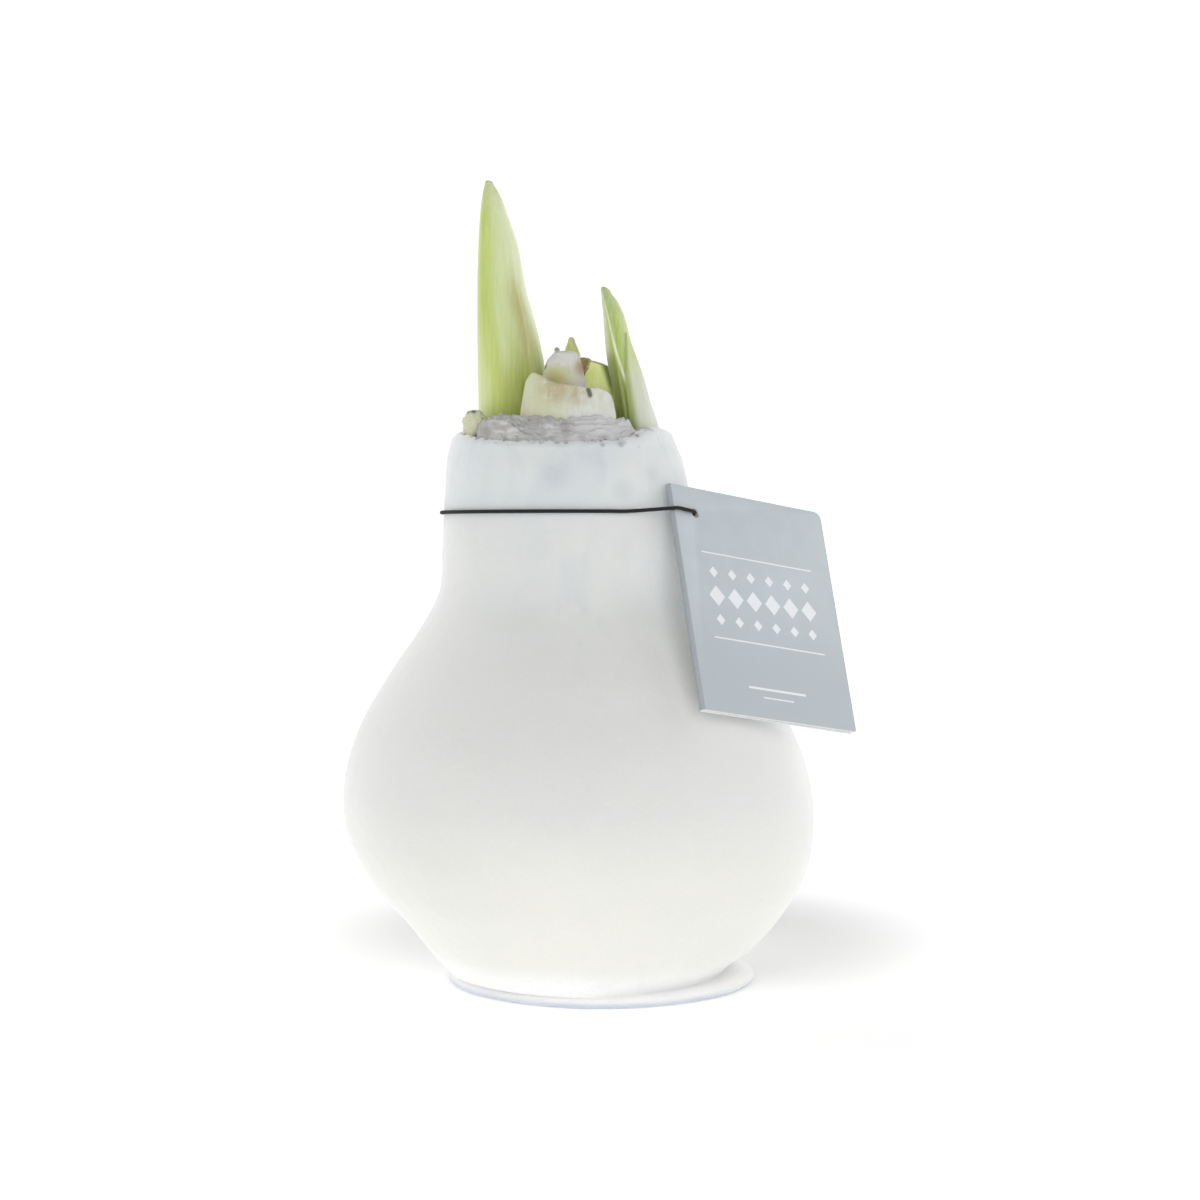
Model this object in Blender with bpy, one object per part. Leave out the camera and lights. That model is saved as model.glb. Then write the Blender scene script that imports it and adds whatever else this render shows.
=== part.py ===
"""Amaryllis bulb dipped in matt white wax, with its shoots, cut scales, elastic and folded tag.

Sizes are in millimetres and are turned into metres where a mesh is made.
The origin is the middle of the flat wax foot on the table, +Z is up, and -Y is the front.
"""
from math import cos, pi, radians, sin, sqrt

import bmesh
import bpy
from mathutils import Euler, Vector

MM = 0.001
GAP = 0.3                     # air kept between two pieces that touch
ROUND = 48                    # sides of the bulb and its coat

# Wax coat: (height, radius, sideways place of the middle), the bulb leans left as it rises
COAT_STATIONS = [
    (4, 30.8, -3.0), (8, 35.4, -2.1), (14, 40.4, -1.8), (22, 46.3, -2.8), (32, 50.0, -4.2),
    (42, 50.1, -4.8), (54, 46.5, -5.3), (66, 39.6, -5.6), (76, 32.6, -5.8), (84, 28.4, -6.0),
    (94, 27.2, -6.4), (104, 26.2, -6.9), (112, 25.1, -7.5), (116, 23.8, -7.9)]
WALL = 2.0                    # thickness of the wax
FLOOR = 3.2                   # thickness of the wax under the bulb
FOOT_RADIUS = 32.8            # pooled wax that the bulb stands on
FOOT_MIDDLE = 0.2
FOOT_HEIGHT = 2.3
NECK_X = -7.9                 # middle of the neck at the top
MOUTH_RADIUS = 21.4           # hole that the wax leaves round the neck
COAT_TOP = 117.7

# Neck of the bulb: cut scales seen from above, as ridges and grooves round the middle
NECK_RINGS = [
    (21.1, 114.9), (20.2, 115.9), (19.0, 115.2), (17.5, 116.1), (16.0, 115.1), (14.0, 116.0),
    (12.8, 115.4), (12.4, 119.2), (11.2, 120.4), (9.8, 119.4), (8.2, 120.4), (6.4, 119.4),
    (4.6, 120.4), (2.4, 119.5)]
NECK_DECK = 116.2             # highest ridge of the outer scales
HEART_DECK = 120.6            # highest ridge of the young scales in the middle

# Upright pieces: (height, left edge, right edge, depth), each about its own line from front to back
TALL_SHOOT = [
    (108.5, -24.2, -12.8, 8.0), (117, -25.5, -11.0, 9.6), (128, -25.9, -11.5, 9.2),
    (138.7, -26.0, -13.3, 8.2), (148.7, -26.0, -15.9, 7.0), (158.4, -25.7, -17.7, 5.6),
    (164.9, -25.3, -19.9, 4.0), (168.6, -24.8, -21.3, 2.6), (170.6, -24.3, -22.5, 1.3)]
TALL_TIP = (-23.6, 171.4)
TALL_Y = -1.0
SHORT_SHOOT = [
    (108.5, 4.2, 10.4, 5.8), (118, 3.2, 11.2, 7.2), (126, 2.4, 9.5, 6.8), (132, 1.7, 7.9, 6.0),
    (137, 1.2, 6.7, 5.0), (142.3, 0.8, 5.4, 3.6), (145.6, 0.5, 3.9, 2.4), (147.7, 0.3, 2.4, 1.4)]
SHORT_TIP = (0.7, 149.1)
SHORT_Y = -3.0
INNER_STUMP = [
    (120.9, -12.0, -3.3, 4.8), (127, -12.3, -3.2, 5.2), (131, -12.3, -3.4, 4.8),
    (133.8, -11.6, -3.9, 3.8), (135.2, -10.2, -4.8, 2.4)]
INNER_TIP = (-7.6, 135.8)
INNER_Y = -8.0
YOUNG_LEAF = [
    (120.9, -7.6, -4.2, 2.8), (128, -7.8, -4.1, 3.0), (134.0, -7.6, -4.3, 2.6),
    (136.4, -7.0, -5.0, 1.6)]
YOUNG_TIP = (-6.1, 138.5)
YOUNG_Y = -1.2
DRY_SCALE = [
    (120.9, -4.6, -1.8, 1.4), (126, -4.9, -1.7, 1.7), (131.5, -5.1, -1.8, 1.7),
    (133.9, -4.9, -2.1, 1.3)]
DRY_TIP = (-4.1, 134.8)
DRY_Y = -4.1
CUT_LEAF = [
    (120.9, -2.3, 2.6, 3.0), (125, -2.4, 2.8, 3.4), (130, -2.3, 2.3, 3.2), (133.0, -2.2, 1.8, 2.6)]
CUT_TIP = (-1.0, 134.1)
CUT_Y = 2.0
SIDE_STUB = [
    (116.5, -27.2, -23.8, 3.4), (118.2, -27.5, -23.6, 3.8), (119.3, -28.6, -23.4, 4.4),
    (121.9, -28.7, -23.5, 4.4), (123.1, -28.0, -24.1, 3.2)]
STUB_TIP = (-26.2, 123.6)
STUB_Y = -7.2

# Scales cut off round the neck: (direction in degrees, height of the cut), -90 is the front
FRONT_CUT = [
    (-124, 121.5), (-121, 127.6), (-115, 130.8), (-108, 130.5), (-100, 129.3), (-84, 128.6),
    (-70, 127.8), (-57, 127.2), (-49, 125.8), (-44, 121.5)]
BACK_CUT = [
    (38, 119.5), (47, 122.8), (64, 124.2), (80, 123.0), (98, 124.6), (116, 123.2), (132, 121.8),
    (140, 119.0)]
SCALE_INNER = 13.2
SCALE_OUTER = 16.2

# Dry tunic: brittle grey outer scales left round the neck, in two torn arcs
TUNIC_INNER = 16.7
TUNIC_OUTER = 21.0
TUNIC_BESIDE_SHOOT = 18.8     # inner edge where the tall shoot pushes it outwards
TUNIC_RISE = 5.4              # inner edge above its outer edge
FRONT_TUNIC = (-145, -33)
BACK_TUNIC = (20, 188)

# Pale sheath round the right side of the short shoot
SHEATH_THICK = 0.9
SHEATH_FLARE = 0.3            # thicker where it spreads on to the wax
SHEATH_FROM = (-108, -52)     # left margin in degrees, at the foot and at the point
SHEATH_TO = (62, -48)         # right margin
SHEATH_FOOT = 116.5
SHEATH_POINT = 139.4

# Folded card tag
TAG_WIDTH = 45.0
TAG_HEIGHT = 50.0
CARD = 0.6
FOLD_INSIDE = 0.4
TAG_CORNER = 3.0
TAG_SPLAY = 0.8               # degrees that the back leaf stands off
TAG_PLACE = (14.78, -16.58, 108.49)
TAG_TURN = (-23.4, 12.3, 46.9)
HOLE_ACROSS = 6.07
HOLE_DOWN = 5.77
HOLE_RADIUS = 1.5

# Round elastic that holds the tag
ELASTIC = 0.85
ELASTIC_LEVEL = 101.2
ELASTIC_SLOPE = 0.105         # front of the loop sits higher than its back
ELASTIC_ROLL = 0.011          # right side a little higher than the left
LEAVES_NECK = -62
JOINS_NECK = -9


def clear_scene():
    for old in list(bpy.data.objects):
        bpy.data.objects.remove(old, do_unlink=True)


def material(name, colour, roughness):
    """Principled finish with a plain colour."""
    finish = bpy.data.materials.new(name)
    finish.use_nodes = True
    shader = finish.node_tree.nodes["Principled BSDF"]
    shader.inputs["Base Color"].default_value = (*colour, 1)
    shader.inputs["Roughness"].default_value = roughness
    shader.inputs["Metallic"].default_value = 0.0
    return finish


def blend(stations, place, column=1):
    """Smooth curve through a list of stations, read at one place along its first column."""
    last = len(stations) - 1
    span = 0
    while span < last - 1 and place > stations[span + 1][0]:
        span += 1
    before = stations[max(span - 1, 0)]
    start, end = stations[span], stations[span + 1]
    after = stations[min(span + 2, last)]
    length = end[0] - start[0]
    rise_in = (end[column] - before[column]) / (end[0] - before[0])
    rise_out = (after[column] - start[column]) / (after[0] - start[0])
    t = (place - start[0]) / length
    return ((2 * t ** 3 - 3 * t ** 2 + 1) * start[column] + (t ** 3 - 2 * t ** 2 + t) * length * rise_in
            + (3 * t ** 2 - 2 * t ** 3) * end[column] + (t ** 3 - t ** 2) * length * rise_out)


def polar(angle, radius, height, middle=0.0):
    """Point at an angle in degrees round an upright axis."""
    return Vector((middle + radius * cos(radians(angle)), radius * sin(radians(angle)), height))


def solid(name, rings, finish, place=(0, 0, 0), parent=None):
    """Closed body through rings of points. A ring of one point closes an end in a tip."""
    mesh = bmesh.new()
    loops = [[mesh.verts.new((point - Vector(place)) * MM) for point in ring] for ring in rings]
    for low, high in zip(loops, loops[1:]):
        count = max(len(low), len(high))
        for side in range(count):
            following = (side + 1) % count
            corners = [low[side % len(low)]]
            if len(low) > 1:
                corners.append(low[following])
            if len(high) > 1:
                corners.append(high[following])
            corners.append(high[side % len(high)])
            mesh.faces.new(corners)
    for end in (loops[0], loops[-1]):
        if len(end) > 2:
            mesh.faces.new(end)
    bmesh.ops.recalc_face_normals(mesh, faces=mesh.faces)
    data = bpy.data.meshes.new(name)
    mesh.to_mesh(data)
    mesh.free()
    data.shade_smooth()
    data.set_sharp_from_angle(angle=radians(40))
    data.materials.append(finish)
    thing = bpy.data.objects.new(name, data)
    bpy.context.collection.objects.link(thing)
    thing.parent = parent
    thing.location = (Vector(place) - parent_place(parent)) * MM
    return thing


def parent_place(parent):
    return parent.location / MM if parent else Vector((0, 0, 0))


def empty(name, place):
    marker = bpy.data.objects.new(name, None)
    bpy.context.collection.objects.link(marker)
    marker.location = Vector(place) * MM
    return marker


def coat_radius(height):
    return blend(COAT_STATIONS, height, 1)


def coat_middle(height):
    return blend(COAT_STATIONS, height, 2)


def slant(height):
    """How much wider a level cut through the wall is than the wall itself."""
    rise = coat_radius(height + 0.5) - coat_radius(height - 0.5)
    return sqrt(1 + rise ** 2)


def circle(radius, height, middle, ragged=0.0):
    """Level ring, with an uneven height where the wax or the scales are ragged."""
    ring = []
    for side in range(ROUND):
        angle = 360 * side / ROUND
        wave = sin(radians(3 * angle + 40)) + 0.7 * sin(radians(7 * angle)) + 0.5 * cos(radians(11 * angle))
        ring.append(polar(angle, radius, height + ragged * wave, middle))
    return ring


OUTSIDE_HEIGHTS = [
    4, 6, 9, 13, 18, 23, 28, 33, 38, 43, 49, 55, 61, 67, 72, 77, 81, 85, 90, 97, 104, 109, 113, 116]
INSIDE_HEIGHTS = [5.5, 9, 15, 23, 33, 43, 55, 67, 77, 86, 97, 110]


def wax_coat(finish):
    """Shell of wax, open at the neck, with a pooled foot."""
    rings = [
        circle(FOOT_RADIUS - 0.6, 0, FOOT_MIDDLE), circle(FOOT_RADIUS, 0.5, FOOT_MIDDLE),
        circle(FOOT_RADIUS - 0.1, FOOT_HEIGHT - 0.7, FOOT_MIDDLE),
        circle(FOOT_RADIUS - 1.0, FOOT_HEIGHT, FOOT_MIDDLE - 0.3), circle(30.0, 2.7, -2.3)]
    rings += [circle(coat_radius(z), z, coat_middle(z)) for z in OUTSIDE_HEIGHTS]
    rings += [
        circle(22.9, COAT_TOP - 0.6, NECK_X, 0.1), circle(22.1, COAT_TOP, NECK_X, 0.2),
        circle(MOUTH_RADIUS, COAT_TOP - 0.3, NECK_X, 0.2), circle(MOUTH_RADIUS, 115.4, NECK_X),
        circle(22.2, 114.0, -7.7)]
    for z in reversed(INSIDE_HEIGHTS):
        rings.append(circle(coat_radius(z) - WALL * slant(z), z, coat_middle(z)))
    rings.append(circle(26.0, FLOOR, -2.8))
    return solid("wax_coat", rings, finish)


def bulb_body(finish, cutters, parent):
    """Bulb inside the coat, with two sockets for the flower shoots in its cut neck."""
    rings = [circle(25.7, FLOOR + GAP, -2.8)]
    for z in INSIDE_HEIGHTS:
        rings.append(circle(coat_radius(z) - (WALL + GAP) * slant(z), z, coat_middle(z)))
    rings.append(circle(21.9, 113.8, -7.7))
    rings += [circle(radius, height, NECK_X, 0.04) for radius, height in NECK_RINGS]
    rings.append([Vector((NECK_X, 0, HEART_DECK - 0.4))])
    body = solid("bulb", rings, finish, parent=parent)
    for cutter in cutters:
        cutter.hide_render = True
        cutter.display_type = "WIRE"
        cut = body.modifiers.new("socket", "BOOLEAN")
        cut.operation = "DIFFERENCE"
        cut.solver = "EXACT"
        cut.object = cutter
    return body


def section(left, right, depth, middle_y, height, sides, keel=0.0, keel_angle=-110, grow=0.0):
    """Oval ring between two edges, with a soft ridge along one side."""
    half_width = (right - left) / 2 + grow
    half_depth = depth / 2 + grow
    ring = []
    for side in range(sides):
        angle = 360 * side / sides
        away = (angle - keel_angle + 180) % 360 - 180
        swell = 1 + keel * max(0.0, 1 - abs(away) / 45) ** 1.5
        ring.append(Vector((
            (left + right) / 2 + half_width * swell * cos(radians(angle)),
            middle_y + half_depth * swell * sin(radians(angle)), height)))
    return ring


def upright(name, stations, tip, middle_y, finish, parent, steps=8, sides=16, keel=0.0, grow=0.0):
    """Shoot, leaf or stump that stands up, as ovals between its edges, closed by a tip."""
    bottom, top = stations[0][0], stations[-1][0]
    rings = []
    for step in range(steps + 1):
        z = bottom + (top - bottom) * (1 - (1 - step / steps) ** 1.35)
        left, right, depth = (blend(stations, z, column) for column in (1, 2, 3))
        rings.append(section(left, right, depth, middle_y, z, sides, keel, grow=grow))
    if grow:
        rings[0] = [point - Vector((0, 0, grow)) for point in rings[0]]
    rings.append([Vector((tip[0], middle_y, tip[1] + grow))])
    foot = Vector(((stations[0][1] + stations[0][2]) / 2, middle_y, bottom))
    return solid(name, rings, finish, foot, parent)


def cut_scale(name, cut_line, finish, parent, steps=14):
    """Thick fleshy scale cut off above the neck: an arc whose top follows the cut."""
    start, end = cut_line[0][0], cut_line[-1][0]
    rings = []
    for step in range(steps + 1):
        angle = start + (end - start) * step / steps
        top = blend(cut_line, angle)
        edge = min(step, steps - step)
        pinch = 0.7 if edge == 0 else 0.0
        inner, outer = SCALE_INNER + pinch, SCALE_OUTER - pinch
        foot = NECK_DECK + GAP
        rings.append([
            polar(angle, inner, foot, NECK_X), polar(angle, outer, foot, NECK_X),
            polar(angle, outer - 0.1, (foot + top) / 2, NECK_X),
            polar(angle, outer - 0.5, top - 0.6, NECK_X), polar(angle, outer - 1.2, top, NECK_X),
            polar(angle, inner + 0.6, top - 0.3, NECK_X),
            polar(angle, inner + 0.2, (foot + top) / 2, NECK_X)])
    return solid(name, rings, finish, (NECK_X, 0, NECK_DECK), parent)


def tunic_inner(angle):
    """Inner edge of the dry tunic, pushed outwards beside the tall shoot."""
    push = min(max((angle - 163) / 12, 0.0), 1.0)
    return TUNIC_INNER + (TUNIC_BESIDE_SHOOT - TUNIC_INNER) * push


def dry_tunic(name, span, finish, parent, steps):
    """Arc of brittle tunic that slopes up to its torn inner edge."""
    rings = []
    for step in range(steps + 1):
        angle = span[0] + (span[1] - span[0]) * step / steps
        inner = tunic_inner(angle)
        tear = 0.35 * sin(radians(17 * angle)) + 0.25 * sin(radians(41 * angle + 60))
        rise = TUNIC_RISE * (TUNIC_OUTER - inner) / (TUNIC_OUTER - TUNIC_INNER)
        if step in (0, steps):
            rise *= 0.5
        foot = NECK_DECK + GAP
        rings.append([
            polar(angle, inner, foot, NECK_X), polar(angle, TUNIC_OUTER, foot, NECK_X),
            polar(angle, TUNIC_OUTER, foot + 0.9, NECK_X),
            polar(angle, TUNIC_OUTER - 0.9, foot + 1.4 + tear * 0.5, NECK_X),
            polar(angle, (inner + TUNIC_OUTER) / 2, foot + 1.2 + rise * 0.55 + tear, NECK_X),
            polar(angle, inner + 0.5, foot + rise + tear, NECK_X)])
    return solid(name, rings, finish, (NECK_X, 0, NECK_DECK), parent)


def shoot_sheath(finish, parent, steps=9, points=8):
    """Thin pale scale that wraps the right side of the short shoot and ends in a point."""
    rings = []
    for step in range(steps + 1):
        part = step / steps
        z = SHEATH_FOOT + (SHEATH_POINT - SHEATH_FOOT) * part
        left, right, depth = (blend(SHORT_SHOOT, z, column) for column in (1, 2, 3))
        start = SHEATH_FROM[0] + (SHEATH_FROM[1] - SHEATH_FROM[0]) * part
        end = SHEATH_TO[0] + (SHEATH_TO[1] - SHEATH_TO[0]) * part ** 1.6
        thick = SHEATH_THICK * (1 - 0.35 * part) + SHEATH_FLARE * max(0.0, 1 - 3 * part)
        ring = []
        for off, order in ((GAP + 0.05 + thick, range(points)), (GAP + 0.05, reversed(range(points)))):
            for spot in order:
                angle = radians(start + (end - start) * spot / (points - 1))
                ring.append(Vector((
                    (left + right) / 2 + ((right - left) / 2 + off) * cos(angle),
                    SHORT_Y + (depth / 2 + off) * sin(angle), z)))
        rings.append(ring)
    return solid("short_shoot_sheath", rings, finish, (7.0, SHORT_Y, SHEATH_FOOT), parent)


def hang_tag(finish, parent):
    """Card folded once at its left edge, hung by a punched hole through both leaves."""
    outer, inner = FOLD_INSIDE / 2 + CARD, FOLD_INSIDE / 2
    spread = TAG_WIDTH * sin(radians(TAG_SPLAY))
    bend = [radians(90 + 180 * step / 8) for step in range(9)]
    outline = [(TAG_WIDTH, 2 * outer + spread), (TAG_WIDTH, outer + inner + spread)]
    outline += [(inner * cos(turn), outer + inner * sin(turn)) for turn in bend]
    outline += [(TAG_WIDTH, CARD), (TAG_WIDTH, 0)]
    outline += [(outer * cos(turn), outer + outer * sin(turn)) for turn in reversed(bend)]
    rings = [[Vector((across, back, -down)) for across, back in outline] for down in (0, TAG_HEIGHT)]
    tag = solid("hang_tag", rings, finish, parent=parent)

    mesh = bmesh.new()
    mesh.from_mesh(tag.data)
    free_edge = (TAG_WIDTH - 0.1) * MM
    corners = [
        edge for edge in mesh.edges
        if edge.calc_length() < 1.5 * CARD * MM
        and all(vert.co.x > free_edge and vert.co.z > -0.1 * MM for vert in edge.verts)]
    bmesh.ops.bevel(mesh, geom=corners, offset=TAG_CORNER * MM, segments=5, affect="EDGES", profile=0.5)
    mesh.to_mesh(tag.data)
    mesh.free()

    punch_rings = []
    for back in (-2.0, 5.0):
        punch_rings.append([
            Vector((HOLE_ACROSS + HOLE_RADIUS * cos(2 * pi * side / 16), back,
                    -HOLE_DOWN + HOLE_RADIUS * sin(2 * pi * side / 16))) for side in range(16)])
    punch = solid("tag_punch", punch_rings, finish, parent=parent)
    for thing in (tag, punch):
        thing.rotation_mode = "YXZ"
        thing.rotation_euler = tag_rotation()
        thing.location = Vector(TAG_PLACE) * MM
    punch.hide_render = True
    punch.display_type = "WIRE"
    cut = tag.modifiers.new("punched hole", "BOOLEAN")
    cut.operation = "DIFFERENCE"
    cut.solver = "EXACT"
    cut.object = punch
    return tag


def tag_rotation():
    return Euler([radians(turn) for turn in TAG_TURN], "YXZ")


def on_tag(across, back, down):
    """World place of a point given on the tag: across from the fold, behind the front, down."""
    return Vector(TAG_PLACE) + tag_rotation().to_matrix() @ Vector((across, back, -down))


def on_neck(angle):
    """Middle of the elastic where it lies on the neck."""
    radius = coat_radius(ELASTIC_LEVEL) + GAP + ELASTIC / 2
    for _ in range(4):
        height = (ELASTIC_LEVEL - ELASTIC_SLOPE * radius * sin(radians(angle))
                  + ELASTIC_ROLL * radius * cos(radians(angle)))
        radius = coat_radius(height) + GAP + ELASTIC / 2
    return polar(angle, radius, height, coat_middle(height))


def elastic_route():
    """Round the back of the neck, over the fold, in at the front of the hole and out behind."""
    around = 360 + LEAVES_NECK - JOINS_NECK
    steps = 34
    route = [on_neck(JOINS_NECK + around * step / steps) for step in range(steps + 1)]
    over = GAP + ELASTIC / 2 + 0.02
    down_at_fold = HOLE_DOWN - 0.2
    route += [
        on_tag(-1.0, -0.55, down_at_fold), on_tag(0.6, -over, down_at_fold - 0.1),
        on_tag(HOLE_ACROSS - 3.2, -over, HOLE_DOWN - 0.1),
        on_tag(HOLE_ACROSS - 1.5, -over, HOLE_DOWN),
        on_tag(HOLE_ACROSS - 0.6, -0.5, HOLE_DOWN), on_tag(HOLE_ACROSS - 0.1, 0.2, HOLE_DOWN),
        on_tag(HOLE_ACROSS + 0.1, 1.4, HOLE_DOWN), on_tag(HOLE_ACROSS + 0.7, 2.4, HOLE_DOWN),
        on_tag(HOLE_ACROSS + 2.0, 3.3, HOLE_DOWN - 0.1)]
    return route


def closed_curve(points):
    """Catmull-Rom curve through a closed list of points, with one more in each long span."""
    count = len(points)
    curve = []
    for spot in range(count):
        before, start = points[spot - 1], points[spot]
        end, after = points[(spot + 1) % count], points[(spot + 2) % count]
        parts = 2 if (end - start).length > 3 else 1
        for part in range(parts):
            t = part / parts
            bend = 2 * before - 5 * start + 4 * end - after
            twist = 3 * start - before - 3 * end + after
            curve.append(0.5 * (2 * start + (end - before) * t + bend * t ** 2 + twist * t ** 3))
    return curve


def elastic_loop(finish):
    points = closed_curve(elastic_route())
    data = bpy.data.curves.new("elastic_loop", "CURVE")
    data.dimensions = "3D"
    data.bevel_depth = ELASTIC / 2 * MM
    data.bevel_resolution = 2
    spline = data.splines.new("POLY")
    spline.points.add(len(points) - 1)
    for spot, point in zip(spline.points, points):
        spot.co = (*(point * MM), 1)
    spline.use_cyclic_u = True
    data.materials.append(finish)
    thing = bpy.data.objects.new("elastic_loop", data)
    bpy.context.collection.objects.link(thing)
    return thing


def build():
    clear_scene()
    wax = material("white_wax", (0.80, 0.80, 0.78), 0.85)
    flesh = material("cut_scale", (0.62, 0.61, 0.44), 0.6)
    grey_scale = material("grey_scale", (0.50, 0.50, 0.34), 0.6)
    tunic = material("dry_tunic", (0.42, 0.40, 0.40), 0.9)
    husk = material("brown_husk", (0.22, 0.17, 0.07), 0.7)
    green = material("shoot_green", (0.46, 0.55, 0.12), 0.45)
    leaf = material("leaf_green", (0.48, 0.58, 0.18), 0.45)
    sheath = material("pale_sheath", (0.66, 0.68, 0.54), 0.6)
    black = material("black_elastic", (0.012, 0.012, 0.013), 0.7)
    card = material("grey_card", (0.50, 0.55, 0.59), 0.6)

    wax_coat(wax)
    neck = empty("neck_top", (NECK_X, 0, NECK_DECK))
    cutters = [
        upright("tall_socket", TALL_SHOOT, TALL_TIP, TALL_Y, flesh, neck, 14, 20, 0.05, GAP),
        upright("short_socket", SHORT_SHOOT, SHORT_TIP, SHORT_Y, flesh, neck, 12, 16, 0.05, GAP)]
    bulb_body(flesh, cutters, None)
    upright("tall_flower_shoot", TALL_SHOOT, TALL_TIP, TALL_Y, green, neck, 14, 20, 0.05)
    upright("short_flower_shoot", SHORT_SHOOT, SHORT_TIP, SHORT_Y, green, neck, 12, 16, 0.05)
    shoot_sheath(sheath, neck)
    cut_scale("front_scale_stump", FRONT_CUT, flesh, neck)
    cut_scale("back_scale_stump", BACK_CUT, flesh, neck)
    upright("inner_scale_stump", INNER_STUMP, INNER_TIP, INNER_Y, grey_scale, neck)
    upright("side_scale_stub", SIDE_STUB, STUB_TIP, STUB_Y, flesh, neck, 6, 12)
    upright("young_leaf_tip", YOUNG_LEAF, YOUNG_TIP, YOUNG_Y, leaf, neck, 6, 12)
    upright("dry_brown_scale", DRY_SCALE, DRY_TIP, DRY_Y, husk, neck, 6, 12)
    upright("cut_leaf_base", CUT_LEAF, CUT_TIP, CUT_Y, leaf, neck, 6, 12)
    dry_tunic("dry_tunic_front", FRONT_TUNIC, tunic, neck, 28)
    dry_tunic("dry_tunic_back", BACK_TUNIC, tunic, neck, 38)
    hang_tag(card, None)
    elastic_loop(black)


build()
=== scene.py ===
from math import cos, pi, radians, sin

import bmesh
import bpy
import numpy as np
from mathutils import Euler, Matrix, Vector


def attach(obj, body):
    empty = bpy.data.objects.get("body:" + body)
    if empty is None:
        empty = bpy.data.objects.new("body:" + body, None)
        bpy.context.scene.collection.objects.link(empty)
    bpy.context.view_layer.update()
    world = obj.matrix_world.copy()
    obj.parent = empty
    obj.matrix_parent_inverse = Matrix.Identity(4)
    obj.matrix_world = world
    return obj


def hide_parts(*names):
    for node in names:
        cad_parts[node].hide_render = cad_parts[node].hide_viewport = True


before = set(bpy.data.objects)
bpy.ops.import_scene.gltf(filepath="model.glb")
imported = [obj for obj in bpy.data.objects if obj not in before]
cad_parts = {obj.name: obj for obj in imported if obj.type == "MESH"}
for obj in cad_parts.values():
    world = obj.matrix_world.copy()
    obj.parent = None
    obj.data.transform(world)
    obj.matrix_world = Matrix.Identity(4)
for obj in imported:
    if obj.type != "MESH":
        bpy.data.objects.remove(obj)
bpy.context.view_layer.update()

# Bulb
# A ripe amaryllis bulb, one body of fleshy scales that wrap each other like an onion's.
# Only its neck shows, cut off level, with the ends of the scales as pale rings round the middle.
MM = 0.001
NECK_X = -7.9
COAT_STATIONS = [
    (4, 30.8, -3.0), (8, 35.4, -2.1), (14, 40.4, -1.8), (22, 46.3, -2.8), (32, 50.0, -4.2),
    (42, 50.1, -4.8), (54, 46.5, -5.3), (66, 39.6, -5.6), (76, 32.6, -5.8), (84, 28.4, -6.0),
    (94, 27.2, -6.4), (104, 26.2, -6.9), (112, 25.1, -7.5), (116, 23.8, -7.9)]
WAX_THICK = 2.0
WAX_FLOOR = 3.2
UNDER_WAX = 0.3
BULB_HEIGHTS = (WAX_FLOOR + UNDER_WAX, 5.5, 9, 15, 23, 33, 43, 55, 67, 77, 86, 97, 110)
BULB_BASE = 25.7
NECK_RINGS = [
    (0.0, 120.0), (2.4, 119.5), (4.6, 120.4), (6.4, 119.4), (8.2, 120.4), (9.8, 119.4), (11.2, 120.4),
    (12.4, 119.2), (12.9, 115.6), (14.0, 116.0), (16.0, 115.1), (17.5, 116.1), (19.0, 115.2),
    (20.2, 115.9), (21.1, 114.9)]


def blend(stations, place, column=1):
    """Smooth curve through given stations, read at one place or at an array of places."""
    at = np.array([row[0] for row in stations], float)
    value = np.array([row[column] for row in stations], float)
    rise = np.gradient(value, at, edge_order=1)
    rise[1:-1] = (value[2:] - value[:-2]) / (at[2:] - at[:-2])
    span = np.clip(np.searchsorted(at, place) - 1, 0, len(at) - 2)
    length = at[span + 1] - at[span]
    t = (place - at[span]) / length
    return ((2 * t ** 3 - 3 * t ** 2 + 1) * value[span] + (t ** 3 - 2 * t ** 2 + t) * length * rise[span]
            + (3 * t ** 2 - 2 * t ** 3) * value[span + 1] + (t ** 3 - t ** 2) * length * rise[span + 1])


def lumps(points, size, seed=0, octaves=3):
    """Smooth random relief from -1 to 1 at points in millimetres, in lumps of one size and finer ones."""
    total = 0.0
    for octave in range(octaves):
        cells = np.asarray(points, float) / (size / 2 ** octave) + 31.7 * seed + 7.3 * octave
        corner = np.floor(cells).astype(np.int64)
        part = cells - corner
        part = part * part * (3 - 2 * part)
        for step in np.ndindex(2, 2, 2):
            spot = corner + step
            key = (spot[..., 0] * 73856093 ^ spot[..., 1] * 19349663 ^ spot[..., 2] * 83492791) & 0xFFFFFFFF
            key = (key ^ key >> 13) * 1274126177 & 0xFFFFFFFF
            value = ((key ^ key >> 16) & 0xFFFF) / 32767.5 - 1
            total = total + value * np.prod(np.where(step, part, 1 - part), axis=-1) / 2 ** octave
    return total / (2 - 2 ** (1 - octaves))


def smooth(value, low, high):
    """0 below low, 1 above high, and a soft step between."""
    t = np.clip((value - low) / (high - low), 0, 1)
    return t * t * (3 - 2 * t)


def polar(angle, radius, height, middle=NECK_X):
    """Points at angles in degrees round the neck, all in millimetres."""
    angle, radius, height = np.broadcast_arrays(np.radians(angle), radius, height)
    return np.stack([middle + radius * np.cos(angle), radius * np.sin(angle), height], axis=-1)


def put(name, data):
    """Stands a mesh, curve, lamp or camera in the scene."""
    thing = bpy.data.objects.new(name, data)
    bpy.context.collection.objects.link(thing)
    return thing


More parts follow.
